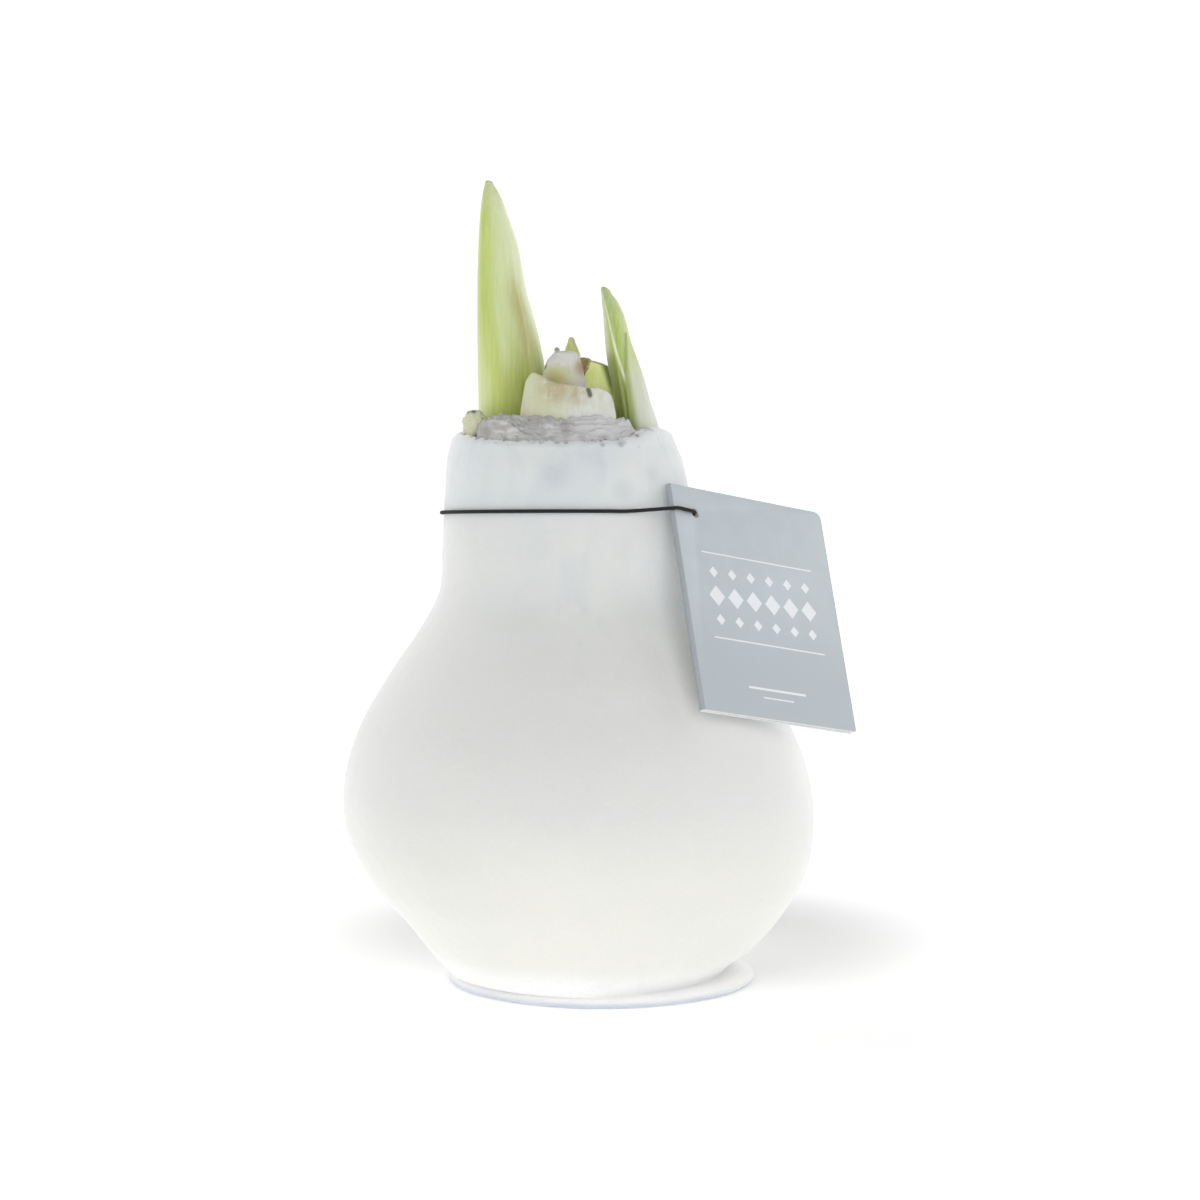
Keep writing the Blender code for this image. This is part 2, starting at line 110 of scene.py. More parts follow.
def skin(name, *lofts):
    """Closed bodies through rings of points, in one mesh. UV runs round and along each of them."""
    points, faces, maps = [], [], []
    for rings in lofts:
        rows, sides = rings.shape[:2]
        start = sum(len(group) for group in points)
        points += [rings.reshape(-1, 3), rings[:1].mean(axis=1), rings[-1:].mean(axis=1)]
        low, high = start + rows * sides, start + rows * sides + 1
        for row in range(rows - 1):
            v0, v1 = row / (rows - 1), (row + 1) / (rows - 1)
            for side in range(sides):
                a, b = start + row * sides + side, start + row * sides + (side + 1) % sides
                faces.append((a, b, b + sides, a + sides))
                u0, u1 = side / sides, (side + 1) / sides
                maps += [(u0, v0), (u1, v0), (u1, v1), (u0, v1)]
        for side in range(sides):
            following = (side + 1) % sides
            u0, u1 = side / sides, (side + 1) / sides
            faces.append((low, start + following, start + side))
            maps += [(u0, 0), (u1, 0), (u0, 0)]
            faces.append((high, high - 1 - sides + side, high - 1 - sides + following))
            maps += [(u0, 1), (u0, 1), (u1, 1)]
    mesh = bpy.data.meshes.new(name)
    mesh.from_pydata(np.concatenate(points) * MM, [], faces)
    mesh.uv_layers.new(name="UVMap").data.foreach_set("uv", np.array(maps, np.float32).ravel())
    shell = bmesh.new()
    shell.from_mesh(mesh)
    bmesh.ops.recalc_face_normals(shell, faces=shell.faces)
    shell.to_mesh(mesh)
    shell.free()
    mesh.shade_smooth()
    return put(name, mesh)


def paint(red, green, blue):
    """Colour given as a paint chart does, 0 to 255, turned into the shader's light values."""
    chart = np.array((red, green, blue)) / 255
    light = np.where(chart < 0.0408, chart / 12.92, ((chart + 0.055) / 1.055) ** 2.4)
    return (*light.tolist(), 1)


class NodeWork:
    """Short ways to add nodes to a tree. Each input is a socket to link or a value to set."""

    def add(self, kind, inputs=(), **settings):
        node = self.tree.nodes.new(kind)
        for label, value in settings.items():
            setattr(node, label, value)
        for socket, value in dict(inputs).items():
            if isinstance(value, bpy.types.NodeSocket):
                self.tree.links.new(value, node.inputs[socket])
            else:
                node.inputs[socket].default_value = value
        return node

    def sum(self, kind, first, second=0.0, third=0.0):
        return self.add("ShaderNodeMath", {0: first, 1: second, 2: third}, operation=kind).outputs[0]

    def times(self, first, second):
        return self.sum("MULTIPLY", first, second)

    def step(self, value, low, high, bottom=0.0, top=1.0):
        """Soft step from bottom to top, where the value passes from low to high."""
        inputs = {"Value": value, "From Min": low, "From Max": high, "To Min": bottom, "To Max": top}
        return self.add("ShaderNodeMapRange", inputs, interpolation_type="SMOOTHSTEP").outputs["Result"]


class Finish(NodeWork):
    """A Principled material whose colour is laid on in coats. Sizes of patterns are millimetres.

    soft is how much light goes into it, and depth how far its red, green and blue go."""

    def __init__(self, name, soft=0.0, depth=(0.0, 0.0, 0.0), **values):
        self.material = bpy.data.materials.new(name)
        self.material.use_nodes = True
        self.tree = self.material.node_tree
        self.shader = self.tree.nodes["Principled BSDF"]
        if soft:
            values.update(Subsurface_Weight=soft, Subsurface_Radius=depth, Subsurface_Scale=MM)
        for label, value in values.items():
            self.shader.inputs[label.replace("_", " ")].default_value = value
        self.place = self.add("ShaderNodeTexCoord").outputs

    def noise(self, size, detail=3.0, stretch=(1, 1, 1), rough=0.55, warp=0.0):
        """Random pattern from 0 to 1, in cells of one size that can be stretched along an axis."""
        spot = self.add("ShaderNodeMapping", {"Vector": self.place["Object"], "Scale": stretch}).outputs[0]
        return self.add("ShaderNodeTexNoise", {
            "Vector": spot, "Scale": 1 / (size * MM), "Detail": detail, "Roughness": rough,
            "Distortion": warp}).outputs["Fac"]

    def near(self, spot, reach, core=0.0):
        """1 within the core round a spot, and softly down to 0 at its reach. All in millimetres."""
        middle = tuple(c * MM for c in spot)
        far = self.add("ShaderNodeVectorMath", {0: self.place["Object"], 1: middle}, operation="DISTANCE")
        return self.step(far.outputs["Value"], reach * MM, core * MM)

    def axis(self, name, source="Object"):
        """One coordinate on the piece, in metres."""
        return self.add("ShaderNodeSeparateXYZ", {0: self.place[source]}).outputs[name]

    def ramp(self, value, *stops):
        node = self.add("ShaderNodeValToRGB", {"Fac": value})
        colours = node.color_ramp.elements
        while len(colours) < len(stops):
            colours.new(0.5)
        for spot, (position, colour) in zip(colours, stops):
            spot.position = position
            spot.color = colour
        return node.outputs["Color"]

    def ground(self, share, first, second):
        """First coat: one colour, and a second one where share is 1."""
        node = self.add("ShaderNodeMix", {0: share, 6: first, 7: second}, data_type="RGBA")
        self.colour = node.outputs[2]

    def tint(self, share, colour):
        """Next coat: a colour over what is there, where share is 1."""
        self.ground(share, self.colour, colour)

    def bump(self, height, depth, under=None):
        inputs = {"Height": height, "Distance": depth * MM, "Strength": 1.0}
        if under:
            inputs["Normal"] = under
        return self.add("ShaderNodeBump", inputs).outputs["Normal"]

    def wear(self, roughness=None, normal=None):
        """Links the laid colour, and the roughness and relief if given, to the shader."""
        for label, socket in (("Base Color", self.colour), ("Roughness", roughness), ("Normal", normal)):
            if socket:
                self.tree.links.new(socket, self.shader.inputs[label])


def coat_radius(height):
    """Outer radius of the waxed bulb."""
    return blend(COAT_STATIONS, height, 1)


def coat_middle(height):
    """Where the middle of the waxed bulb lies across, because it leans a little."""
    return blend(COAT_STATIONS, height, 2)


def slant(height):
    """How much thicker a level cut goes through the coat than a square one."""
    rise = coat_radius(height + 0.5) - coat_radius(height - 0.5)
    return np.sqrt(1 + rise ** 2)


round_bulb = np.linspace(0, 360, 240, endpoint=False)[None, :]
body_heights = np.array(BULB_HEIGHTS)[:, None]
body_radius = coat_radius(body_heights) - (WAX_THICK + UNDER_WAX) * slant(body_heights)
body_radius[0] = BULB_BASE
flesh_body = polar(round_bulb, body_radius, body_heights, coat_middle(body_heights))
deck_radius = np.linspace(NECK_RINGS[-1][0], 0.25, 84)[:, None]
deck = polar(round_bulb, deck_radius, blend(NECK_RINGS, deck_radius))
deck[..., 2] += 0.28 * lumps(deck, 1.6, 1) + 0.25 * lumps(deck * (1, 1, 0), 5.0, 2)
deck[..., :2] += 0.35 * smooth(deck_radius, 1, 4)[..., None] * np.stack(
    [lumps(deck, 4.0, 3), lumps(deck, 4.0, 4)], axis=-1)
bulb_flesh = skin("bulb_flesh", np.concatenate([flesh_body, deck]))

flesh = Finish("bulb_flesh", soft=0.15, depth=(1.6, 1.3, 0.8))
ridge = flesh.step(flesh.axis("Z"), 0.1150, 0.1206)
fibre = flesh.noise(0.7, 4, rough=0.7)
patch = flesh.noise(3.5, 3)
flesh.ground(ridge, paint(150, 140, 104), paint(214, 211, 182))
flesh.tint(flesh.step(patch, 0.52, 0.70), paint(160, 148, 108))
flesh.tint(flesh.step(fibre, 0.58, 0.72), paint(120, 108, 84))
flesh.wear(flesh.step(fibre, 0.3, 0.7, 0.65, 0.85), flesh.bump(fibre, 0.35))
bulb_flesh.data.materials.append(flesh.material)
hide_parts("bulb")
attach(bulb_flesh, "root")

# Scales cut off round the neck
# Thick leaf bases that were cut when the bulb was cleaned, and dried to a cream rim with brown stains.
# The front one is broad and stands highest at its left, and a rounded one stands behind it.
FRONT_CUT = [
    (-124, 122.5), (-121, 128.8), (-115, 131.6), (-108, 131.2), (-100, 130.0), (-84, 129.3),
    (-70, 128.6), (-57, 128.2), (-49, 126.8), (-44, 122.5)]
BACK_CUT = [
    (38, 119.5), (47, 122.8), (64, 124.2), (80, 123.0), (98, 124.6), (116, 123.2), (132, 121.8),
    (140, 119.0)]
SCALE_INNER = 13.2
SCALE_OUTER = 16.2
SCALE_FOOT = 116.0
INNER_STUMP = [
    (119.6, -11.7, -3.3, 4.8), (127, -11.9, -2.9, 5.2), (131.2, -11.9, -3.4, 4.8),
    (133.7, -11.3, -4.0, 4.0), (135.0, -10.1, -4.8, 3.0)]
SIDE_STUB = [
    (116.2, -28.2, -23.7, 3.8), (117.6, -28.7, -23.5, 4.2), (119.2, -28.9, -23.3, 4.6),
    (121.2, -28.8, -23.6, 4.6), (122.6, -28.1, -24.6, 4.2)]
FRONT_CRACK = [(-2.45, -14.3, 127.9), (-2.25, -14.3, 127.35), (-2.1, -14.3, 126.8)]
# Marks on the side stub. The dark olive spot at its right and the two greyish ones low down are painted
# shade, in the crevices beside the tall shoot and along its foot; the others are stains.
STUB_STAINS_AND_SHADE = [
    ((-26.6, -8.8, 123.1), 0.9, paint(112, 118, 120)), ((-27.7, -8.6, 123.0), 0.8, paint(140, 146, 150)),
    ((-24.3, -9.4, 121.7), 0.8, paint(84, 84, 56)), ((-24.3, -9.4, 120.0), 1.0, paint(176, 170, 140)),
    ((-26.0, -9.4, 120.0), 1.6, paint(212, 206, 190)), ((-26.0, -9.3, 117.4), 1.5, paint(140, 140, 122)),
    ((-28.6, -8.0, 117.8), 1.3, paint(150, 150, 134))]
INNER_STAINS = [
    ((-3.9, -9.0, 132.3), 2.6, 0.6, paint(176, 160, 132)),
    ((-11.9, -8.6, 132.6), 1.1, 0.3, paint(92, 98, 66)),
    ((-9.1, -8.2, 136.2), 1.0, 0.5, paint(150, 150, 142))]


def cut_scale(name, cut_line, seed, spread):
    """Arc of a thick scale that is wider at its foot. Its section runs up, over the cut and down again."""
    angles = np.linspace(cut_line[0][0], cut_line[-1][0], 170)[:, None]
    top = blend(cut_line, angles) + 0.25 * lumps(polar(angles, 15, 0.0), 1.2, seed)
    ends = np.minimum(angles - angles[0], angles[-1] - angles)
    pinch = 1.3 * (1 - smooth(ends, 0, 5))
    up = np.linspace(0, 1, 26)[None, :]
    outside = polar(angles, SCALE_OUTER - pinch - 0.9 * up ** 3, SCALE_FOOT + (top - 0.5 - SCALE_FOOT) * up)
    over = np.linspace(0.12, 0.88, 9)[None, :]
    crown_radius = SCALE_OUTER - pinch - 0.9 - (SCALE_OUTER - SCALE_INNER - 2 * pinch - 1.1) * over
    crown = polar(angles, crown_radius, top - 0.5 + 0.5 * np.sin(pi * over) ** 0.6 - 0.5 * over)
    down = up[:, ::-1]
    inside = polar(angles, SCALE_INNER + pinch + 0.2 * down, SCALE_FOOT + (top - 1.0 - SCALE_FOOT) * down)
    section = np.concatenate([outside, crown, inside], axis=1)
    rise = (section[..., 2] - SCALE_FOOT) / (top.max() - SCALE_FOOT)
    swing = np.radians(spread * (1 - rise) * (2 * (angles - angles[0]) / (angles[-1] - angles[0]) - 1))
    out_x, out_y = section[..., 0] - NECK_X, section[..., 1].copy()
    section[..., 0] = NECK_X + out_x * np.cos(swing) - out_y * np.sin(swing)
    section[..., 1] = out_x * np.sin(swing) + out_y * np.cos(swing)
    rib = lumps(section * (1, 1, 0.12), 1.3, seed + 1)
    dent = lumps(section, 5.0, seed + 2)
    section[..., :2] += (0.18 * rib + 0.40 * dent)[..., None] * (section[..., :2] - (NECK_X, 0)) / SCALE_OUTER
    section[..., 2] += 0.22 * lumps(section, 1.5, seed + 3) * smooth(section[..., 2], 119, 124)
    return skin(name, section)


def stalk(stations, tip, middle_y, sides, rows, shape=None):
    """Rings of a piece that stands up, as ovals between its left and right edges, up to its tip.

    A station is a height, the left and right edge there, and the depth from front to back."""
    bottom, top = stations[0][0], stations[-1][0]
    part = np.linspace(0, 1, rows)[:, None]
    height = bottom + (top - bottom) * (1 - (1 - part) ** 1.25)
    left, right, depth = (blend(stations, height, column) for column in (1, 2, 3))
    rest = (np.arange(1, 9) / 8.3)[:, None]
    close = np.sqrt(1 - rest ** 2)
    middle = (left[-1:] + right[-1:]) / 2 + (tip[0] - (left[-1:] + right[-1:]) / 2) * rest
    half = (right[-1:] - left[-1:]) / 2 * close
    height = np.concatenate([height, top + (tip[1] - top) * rest])
    left, right = np.concatenate([left, middle - half]), np.concatenate([right, middle + half])
    depth = np.concatenate([depth, depth[-1:] * close])
    angle = np.linspace(-180, 180, sides, endpoint=False)[None, :]
    swell = 1.0 if shape is None else shape(angle, (height - bottom) / (tip[1] - bottom))
    rings = np.stack(np.broadcast_arrays(
        (left + right) / 2 + (right - left) / 2 * swell * np.cos(np.radians(angle)),
        middle_y + depth / 2 * swell * np.sin(np.radians(angle)), height), axis=-1)
    return rings


def roughen(rings, depth, size, seed, stretch=(1, 1, 1)):
    """Moves the rings' points in and out of the piece's middle line by a random relief."""
    middle = rings.mean(axis=1, keepdims=True)
    away = rings - middle
    away /= np.maximum(np.linalg.norm(away, axis=-1, keepdims=True), 0.3)
    return rings + away * (depth * lumps(rings * stretch, size, seed))[..., None]


front_scale = cut_scale("front_scale", FRONT_CUT, 11, 6)
back_scale = cut_scale("back_scale", BACK_CUT, 21, 3)
inner_rings = roughen(stalk(INNER_STUMP, (-7.2, 135.8), -8.0, 96, 60), 0.3, 3.0, 31)
inner_rings = roughen(inner_rings, 0.12, 0.8, 32, (1, 1, 0.3))
nub_rings = stalk([(134.4, -9.5, -8.4, 0.9), (136.0, -9.6, -8.5, 0.8)], (-9.1, 136.5), -8.2, 24, 8)
inner_scale = skin("inner_scale", inner_rings, nub_rings)
stub_rings = roughen(stalk(SIDE_STUB, (-26.6, 123.3), -7.2, 72, 40), 0.45, 1.9, 45)
side_stub = skin("side_stub", roughen(stub_rings, 0.26, 0.7, 42))

cream = Finish("cut_scale", soft=0.2, depth=(1.8, 1.5, 0.9))
streak = cream.noise(0.8, 3, stretch=(1, 1, 0.15))
cloud = cream.noise(3.5, 3)
cream.ground(cream.step(cream.axis("X"), -0.0125, -0.0030), paint(210, 213, 182), paint(219, 222, 213))
cream.tint(cream.step(cloud, 0.40, 0.68, 0.0, 0.6), paint(204, 201, 168))
cream.tint(cream.step(streak, 0.55, 0.75, 0.0, 0.5), paint(196, 195, 170))
stain_place = cream.sum(
    "MAXIMUM", cream.near((-9.0, -15, 128.6), 6.0, 0.8), cream.near((-5.0, -15, 127.4), 4.4, 0.4))
patch_mask = cream.times(stain_place, cream.step(cream.noise(2.2, 4, rough=0.65), 0.28, 0.60))
cream.tint(cream.times(patch_mask, 0.85), paint(180, 166, 128))
for spot in FRONT_CRACK:
    cream.tint(cream.near(spot, 0.85, 0.2), paint(98, 100, 90))
dust_line = cream.sum("MULTIPLY_ADD", cream.axis("X"), -0.22, cream.axis("Z"))
dust = cream.sum("MULTIPLY_ADD", cream.noise(2.0, 3), 0.005, dust_line)
dust = cream.times(cream.step(dust, 0.1268, 0.1238), cream.step(cream.axis("Y"), -0.009, -0.012))
cream.tint(cream.times(dust, 0.75), paint(222, 222, 220))
# Stains on the side stub, with painted shade in the crevices at its right and along its foot.
for spot, reach, mark_colour in STUB_STAINS_AND_SHADE:
    cream.tint(cream.near(spot, reach, 0.2), mark_colour)
cream.wear(cream.step(streak, 0.3, 0.7, 0.5, 0.7), cream.bump(streak, 0.2, cream.bump(cloud, 0.3)))

olive = Finish("grey_scale", soft=0.15, depth=(1.5, 1.3, 0.9))
wander = olive.times(olive.noise(2.5, 3), 0.006)
side_mix = olive.step(olive.sum("ADD", olive.axis("X"), wander), -0.0054, -0.0018)
olive.ground(side_mix, paint(202, 208, 166), paint(208, 203, 196))
cap = olive.step(olive.sum("ADD", olive.axis("Z"), wander), 0.1345, 0.1368)
olive.tint(cap, paint(214, 213, 207))
olive.tint(olive.times(olive.near((-9.4, -10.5, 129.6), 3.4, 0.5), 0.85), paint(196, 184, 118))
for spot, reach, core, mark_colour in INNER_STAINS:
    olive.tint(olive.near(spot, reach, core), mark_colour)
olive_speck = olive.noise(0.9, 3)
olive.tint(olive.step(olive_speck, 0.60, 0.74, 0.0, 0.4), paint(170, 164, 138))
olive.wear(olive.step(olive_speck, 0.3, 0.7, 0.55, 0.75), olive.bump(olive_speck, 0.2))

front_scale.data.materials.append(cream.material)
back_scale.data.materials.append(cream.material)
side_stub.data.materials.append(cream.material)
inner_scale.data.materials.append(olive.material)
for piece, node, slot in (
        (front_scale, "front_scale_stump", "cut_scale"), (back_scale, "back_scale_stump", "cut_scale"),
        (side_stub, "side_scale_stub", "cut_scale"), (inner_scale, "inner_scale_stump", "grey_scale")):
    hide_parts(node)
    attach(piece, "root")

# Dry tunic round the neck
# Outer scales that dried to brittle grey skin, torn off level with the wax and dusted white by it.
# Each arc is a few layers, the inner ones standing higher, that grow out of the neck of the bulb.
TUNIC_LAYERS = [
    (20.8, 118.7, 0.6), (20.1, 119.8, 0.8), (19.3, 120.9, 1.0), (18.5, 121.8, 1.2), (17.6, 122.4, 1.4),
    (16.9, 122.6, 1.6)]
TUNIC_SPANS = {"dry_tunic_front": (-149, -33), "dry_tunic_back": (20, 188)}
TUNIC_FOOT = 116.3
TUNIC_TOP = 122.6
TUNIC_BETWEEN = (16.9, 20.9)
INSIDE_MOUTH = 21.2
TUNIC_STAINS = [
    ((-23.0, -13.4, 119.0), 2.4, paint(152, 151, 142)), ((-21.5, -15.0, 120.6), 1.8, paint(168, 165, 152)),
    ((3.9, -16.9, 119.2), 1.0, paint(158, 156, 157)), ((1.0, -18.9, 118.3), 1.7, paint(176, 175, 177)),
    ((-3.8, -19.9, 118.4), 1.6, paint(182, 181, 183)), ((6.8, -15.4, 119.6), 1.1, paint(186, 186, 178))]


def torn_layer(span, radius, top, lean, seed):
    """One brittle layer: a thin wall along an arc that leans inwards and ends in a torn edge.

    In front it stands higher towards its left end, and a little lower at its right."""
    angles = np.arange(span[0], span[1], 0.6)[:, None]
    ends = smooth(np.minimum(angles - span[0], span[1] - angles), 0, 5)
    line = polar(angles, radius, 0.0)
    reach = radius + 1.15 * smooth(angles, 160, 174) + 0.4 * lumps(line, 5.0, seed + 3)
    reach = np.clip(reach, *TUNIC_BETWEEN)
    tear = 0.8 * lumps(line, 3.4, seed) + 0.5 * lumps(line, 1.0, seed + 1)
    top = top + (TUNIC_TOP - top) * 0.8 * smooth(angles, -112, -126) * (angles < 0)
    top = top - 0.7 * smooth(angles, -62, -54) * (angles < 0)
    height = TUNIC_FOOT + (top - TUNIC_FOOT + tear) * (0.6 + 0.4 * ends)
    up = np.linspace(0, 1, 12)[None, :]
    wave = 0.25 * lumps(polar(angles, radius, 10 * up), 2.2, seed + 2)
    thick = 0.5 * (1 - 0.6 * up)
    middle = reach - lean * up ** 1.5 * (0.5 + 0.5 * ends) + wave * up
    z = TUNIC_FOOT + (height - TUNIC_FOOT) * up
    outside = polar(angles, np.minimum(middle + thick, INSIDE_MOUTH), z)
    inside = polar(angles, middle - thick, z - 0.1)[:, ::-1]
    return np.concatenate([outside, inside], axis=1)


tunic = Finish("dry_tunic", soft=0.1, depth=(1.0, 0.9, 0.9), Roughness=0.9)
tunic_streak = tunic.noise(2.6, 3, stretch=(0.6, 0.6, 1.9), rough=0.6)
tunic.ground(tunic.step(tunic_streak, 0.38, 0.62), paint(182, 181, 179), paint(208, 209, 208))
tunic_patch = tunic.times(tunic.step(tunic.noise(3.4, 3), 0.52, 0.66), 0.55)
tunic.tint(tunic_patch, paint(164, 161, 158))
dusted = tunic.sum("MULTIPLY_ADD", tunic.noise(3.0, 4), 0.016, tunic.axis("X"))
tunic.tint(tunic.step(dusted, -0.0010, 0.0060, 0.0, 0.85), paint(214, 214, 215))
waxed = tunic.sum("MULTIPLY_ADD", tunic.noise(2.6, 4), 0.007, tunic.axis("Z"))
tunic.tint(tunic.step(waxed, 0.1224, 0.1208, 0.0, 0.8), paint(211, 212, 214))
for spot, reach, mark_colour in TUNIC_STAINS:
    tunic.tint(tunic.times(tunic.near(spot, reach, 0.2), 0.75), mark_colour)
tunic_speck = tunic.times(tunic.step(tunic.noise(1.3, 3), 0.63, 0.72), 0.5)
tunic.tint(tunic_speck, paint(150, 146, 142))
tunic.wear(normal=tunic.bump(tunic_streak, 0.18))

for number, (node, span) in enumerate(TUNIC_SPANS.items()):
    layers = [
        torn_layer(span, radius, top, lean, 50 + 24 * number + 4 * layer)
        for layer, (radius, top, lean) in enumerate(TUNIC_LAYERS)]
    tunic_arc = skin(node + "_layers", *layers)
    tunic_arc.data.materials.append(tunic.material)
    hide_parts(node)
    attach(tunic_arc, "root")

# Leaves in the middle of the neck
# The green point of a young leaf, the base of a leaf that was cut off slanting, and a small scale
# that dried brown between them. All three grow up out of the heart of the bulb.
YOUNG_LEAF = [
    (119.6, -7.6, -4.2, 2.8), (128, -7.8, -4.1, 3.0), (134.2, -7.7, -4.1, 2.7), (135.9, -7.4, -4.6, 2.2),
    (137.4, -6.8, -5.3, 1.4)]
DRY_SCALE = [
    (119.6, -4.9, -3.2, 1.4), (126, -5.1, -3.2, 1.5), (130.4, -5.1, -3.0, 1.6), (132.4, -5.1, -2.0, 1.7),
    (133.7, -5.0, -1.8, 1.4)]
CUT_LEAF = [
    (119.6, -3.2, 3.8, 3.0), (125, -3.9, 3.7, 3.4), (130, -3.9, 2.7, 3.2), (132.3, -3.6, 1.9, 3.0)]

young_rings = stalk(YOUNG_LEAF, (-6.1, 138.4), -1.2, 64, 60)
young_leaf = skin("young_leaf", roughen(young_rings, 0.08, 0.8, 71, (1, 1, 0.15)))
husk_rings = stalk(DRY_SCALE, (-3.5, 134.2), -4.1, 64, 60)
brown_scale = skin("brown_scale", roughen(roughen(husk_rings, 0.35, 1.8, 72), 0.15, 0.5, 73, (1, 1, 0.4)))
cut_rings = stalk(CUT_LEAF, (-0.3, 132.8), 2.0, 72, 60)
cut_rings[..., 2] -= 0.3 * cut_rings[..., 0] * smooth(cut_rings[..., 2], 124, 132)
cut_leaf = skin("cut_leaf", roughen(cut_rings, 0.1, 0.9, 74, (1, 1, 0.12)))

leaf = Finish("leaf_green", soft=0.5, depth=(2.4, 3.0, 1.2), Roughness=0.42)
vein = leaf.noise(0.45, 2, stretch=(1, 1, 0.06))
# Partly the leaves' own pale yellow-green and partly painted light: the ground is made paler to lift the cut
# leaf out of the shade among the scales.
leaf.ground(leaf.step(vein, 0.4, 0.6), paint(239, 249, 174), paint(246, 252, 206))
# Painted shade: a dark stripe down the right flank of the cut leaf, where it turns into the shade beside the
# short shoot.
flank = leaf.sum("MULTIPLY_ADD", leaf.axis("Z"), 0.34, leaf.axis("X"))
leaf.tint(leaf.step(flank, 0.0446, 0.0462), paint(100, 112, 48))
leaf.tint(leaf.step(leaf.axis("X"), -0.0039, -0.0050), paint(188, 196, 122))
rim = leaf.sum("MULTIPLY_ADD", leaf.axis("X"), 0.3, leaf.axis("Z"))
leaf_rim = leaf.times(leaf.step(rim, 0.1322, 0.1326), leaf.step(leaf.axis("X"), -0.0030, -0.0026))
leaf.tint(leaf.times(leaf_rim, 0.8), paint(128, 118, 76))
brown_edge = leaf.step(leaf.sum("MULTIPLY_ADD", leaf.axis("Z"), 0.55, leaf.axis("X")), 0.0692, 0.0700)
brown_edge = leaf.times(brown_edge, leaf.step(leaf.axis("Z"), 0.1340, 0.1345))
leaf.tint(brown_edge, paint(176, 170, 146))
leaf.wear(leaf.step(vein, 0.3, 0.7, 0.38, 0.55), leaf.bump(vein, 0.12))

husk = Finish("brown_husk")
husk_grain = husk.noise(0.5, 4, stretch=(1, 1, 0.3), rough=0.7)
husk.colour = husk.ramp(
    husk_grain, (0.30, paint(94, 84, 44)), (0.48, paint(144, 130, 78)), (0.62, paint(188, 180, 136)))
husk.wear(husk.step(husk_grain, 0.3, 0.7, 0.6, 0.85), husk.bump(husk_grain, 0.3))

young_leaf.data.materials.append(leaf.material)
cut_leaf.data.materials.append(leaf.material)
brown_scale.data.materials.append(husk.material)
for piece, node, slot in (
        (young_leaf, "young_leaf_tip", "leaf_green"), (cut_leaf, "cut_leaf_base", "leaf_green"),
        (brown_scale, "dry_brown_scale", "brown_husk")):
    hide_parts(node)
    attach(piece, "root")

# Flower shoots
# Two flower buds, each still shut in its pointed sheath of two leaves whose margins overlap in front.
# The tall one is yellow-green and ribbed. The short one is bent like a claw, with a pale dry scale round it.
TALL_SHOOT = [
    (108.5, -24.2, -12.8, 8.0), (117, -25.5, -11.0, 9.6), (128, -25.9, -11.5, 9.2),
    (138.7, -26.0, -13.3, 8.2), (148.7, -26.0, -15.9, 7.0), (158.4, -25.7, -17.7, 5.6),
    (164.9, -25.3, -19.9, 4.0), (168.6, -24.8, -21.3, 2.6), (170.6, -24.3, -22.5, 1.3)]
SHORT_SHOOT = [
    (108.5, 4.9, 10.4, 5.8), (118, 4.0, 11.2, 7.2), (126, 3.0, 9.5, 6.8), (132, 1.9, 7.9, 6.0),
    (137, 1.2, 6.7, 5.0), (142.3, 0.8, 5.4, 3.6), (145.6, 0.5, 3.9, 2.4), (147.7, 0.3, 2.4, 1.4)]
SHORT_Y = -3.0
SHEATH_FROM = (-109, -50)
SHEATH_TO = (62, -48)
SHEATH_FOOT = 116.3
SHEATH_POINT = 139.4
TALL_UPPER = (
    (0.00, paint(212, 220, 158)), (0.10, paint(188, 204, 104)), (0.16, paint(191, 206, 114)),
    (0.22, paint(198, 210, 146)), (0.30, paint(207, 217, 168)), (0.40, paint(222, 229, 196)),
    (0.50, paint(224, 229, 206)), (0.75, paint(198, 211, 120)), (1.00, paint(212, 220, 158)))
# Near its foot the colours run deep olive from 0.24 to 0.42 round the shoot, at the right of its front:
# painted shade cast by the front scale.
TALL_LOWER = (
    (0.00, paint(222, 230, 184)), (0.11, paint(214, 225, 152)), (0.17, paint(198, 211, 116)),
    (0.24, paint(184, 197, 92)), (0.34, paint(168, 180, 90)), (0.42, paint(174, 185, 108)),
    (0.50, paint(214, 221, 180)), (0.75, paint(190, 203, 112)), (1.00, paint(222, 230, 184)))
TALL_STAINS_SHADE_AND_HIGHLIGHT = (
    (0.34, 0.09, (0.124, 0.134), (0.145, 0.156), 0.85, paint(178, 184, 114)),
    (0.36, 0.08, (0.132, 0.139), (0.145, 0.153), 0.5, paint(186, 172, 118)),
    # Painted highlight: a pale streak down the keel at the front left.
    (0.23, 0.035, (0.126, 0.136), (0.142, 0.152), 0.7, paint(206, 216, 164)),
    # Painted shade: a deep olive patch low on the front right, cast by the front scale.
    (0.30, 0.12, (0.118, 0.124), (0.128, 0.138), 0.85, paint(158, 170, 72)))
SHORT_UPPER = (
    (0.00, paint(222, 229, 190)), (0.08, paint(224, 232, 188)), (0.13, paint(196, 209, 138)),
    (0.18, paint(178, 195, 112)), (0.25, paint(168, 188, 92)), (0.33, paint(194, 208, 142)),
    (0.50, paint(216, 223, 188)), (0.75, paint(192, 206, 132)), (1.00, paint(226, 232, 198)))
SHORT_LOWER = (
    (0.00, paint(216, 223, 166)), (0.12, paint(206, 216, 142)), (0.18, paint(164, 174, 98)),
    (0.26, paint(180, 190, 116)), (0.50, paint(200, 208, 160)), (0.75, paint(186, 200, 120)),
    (1.00, paint(216, 223, 166)))
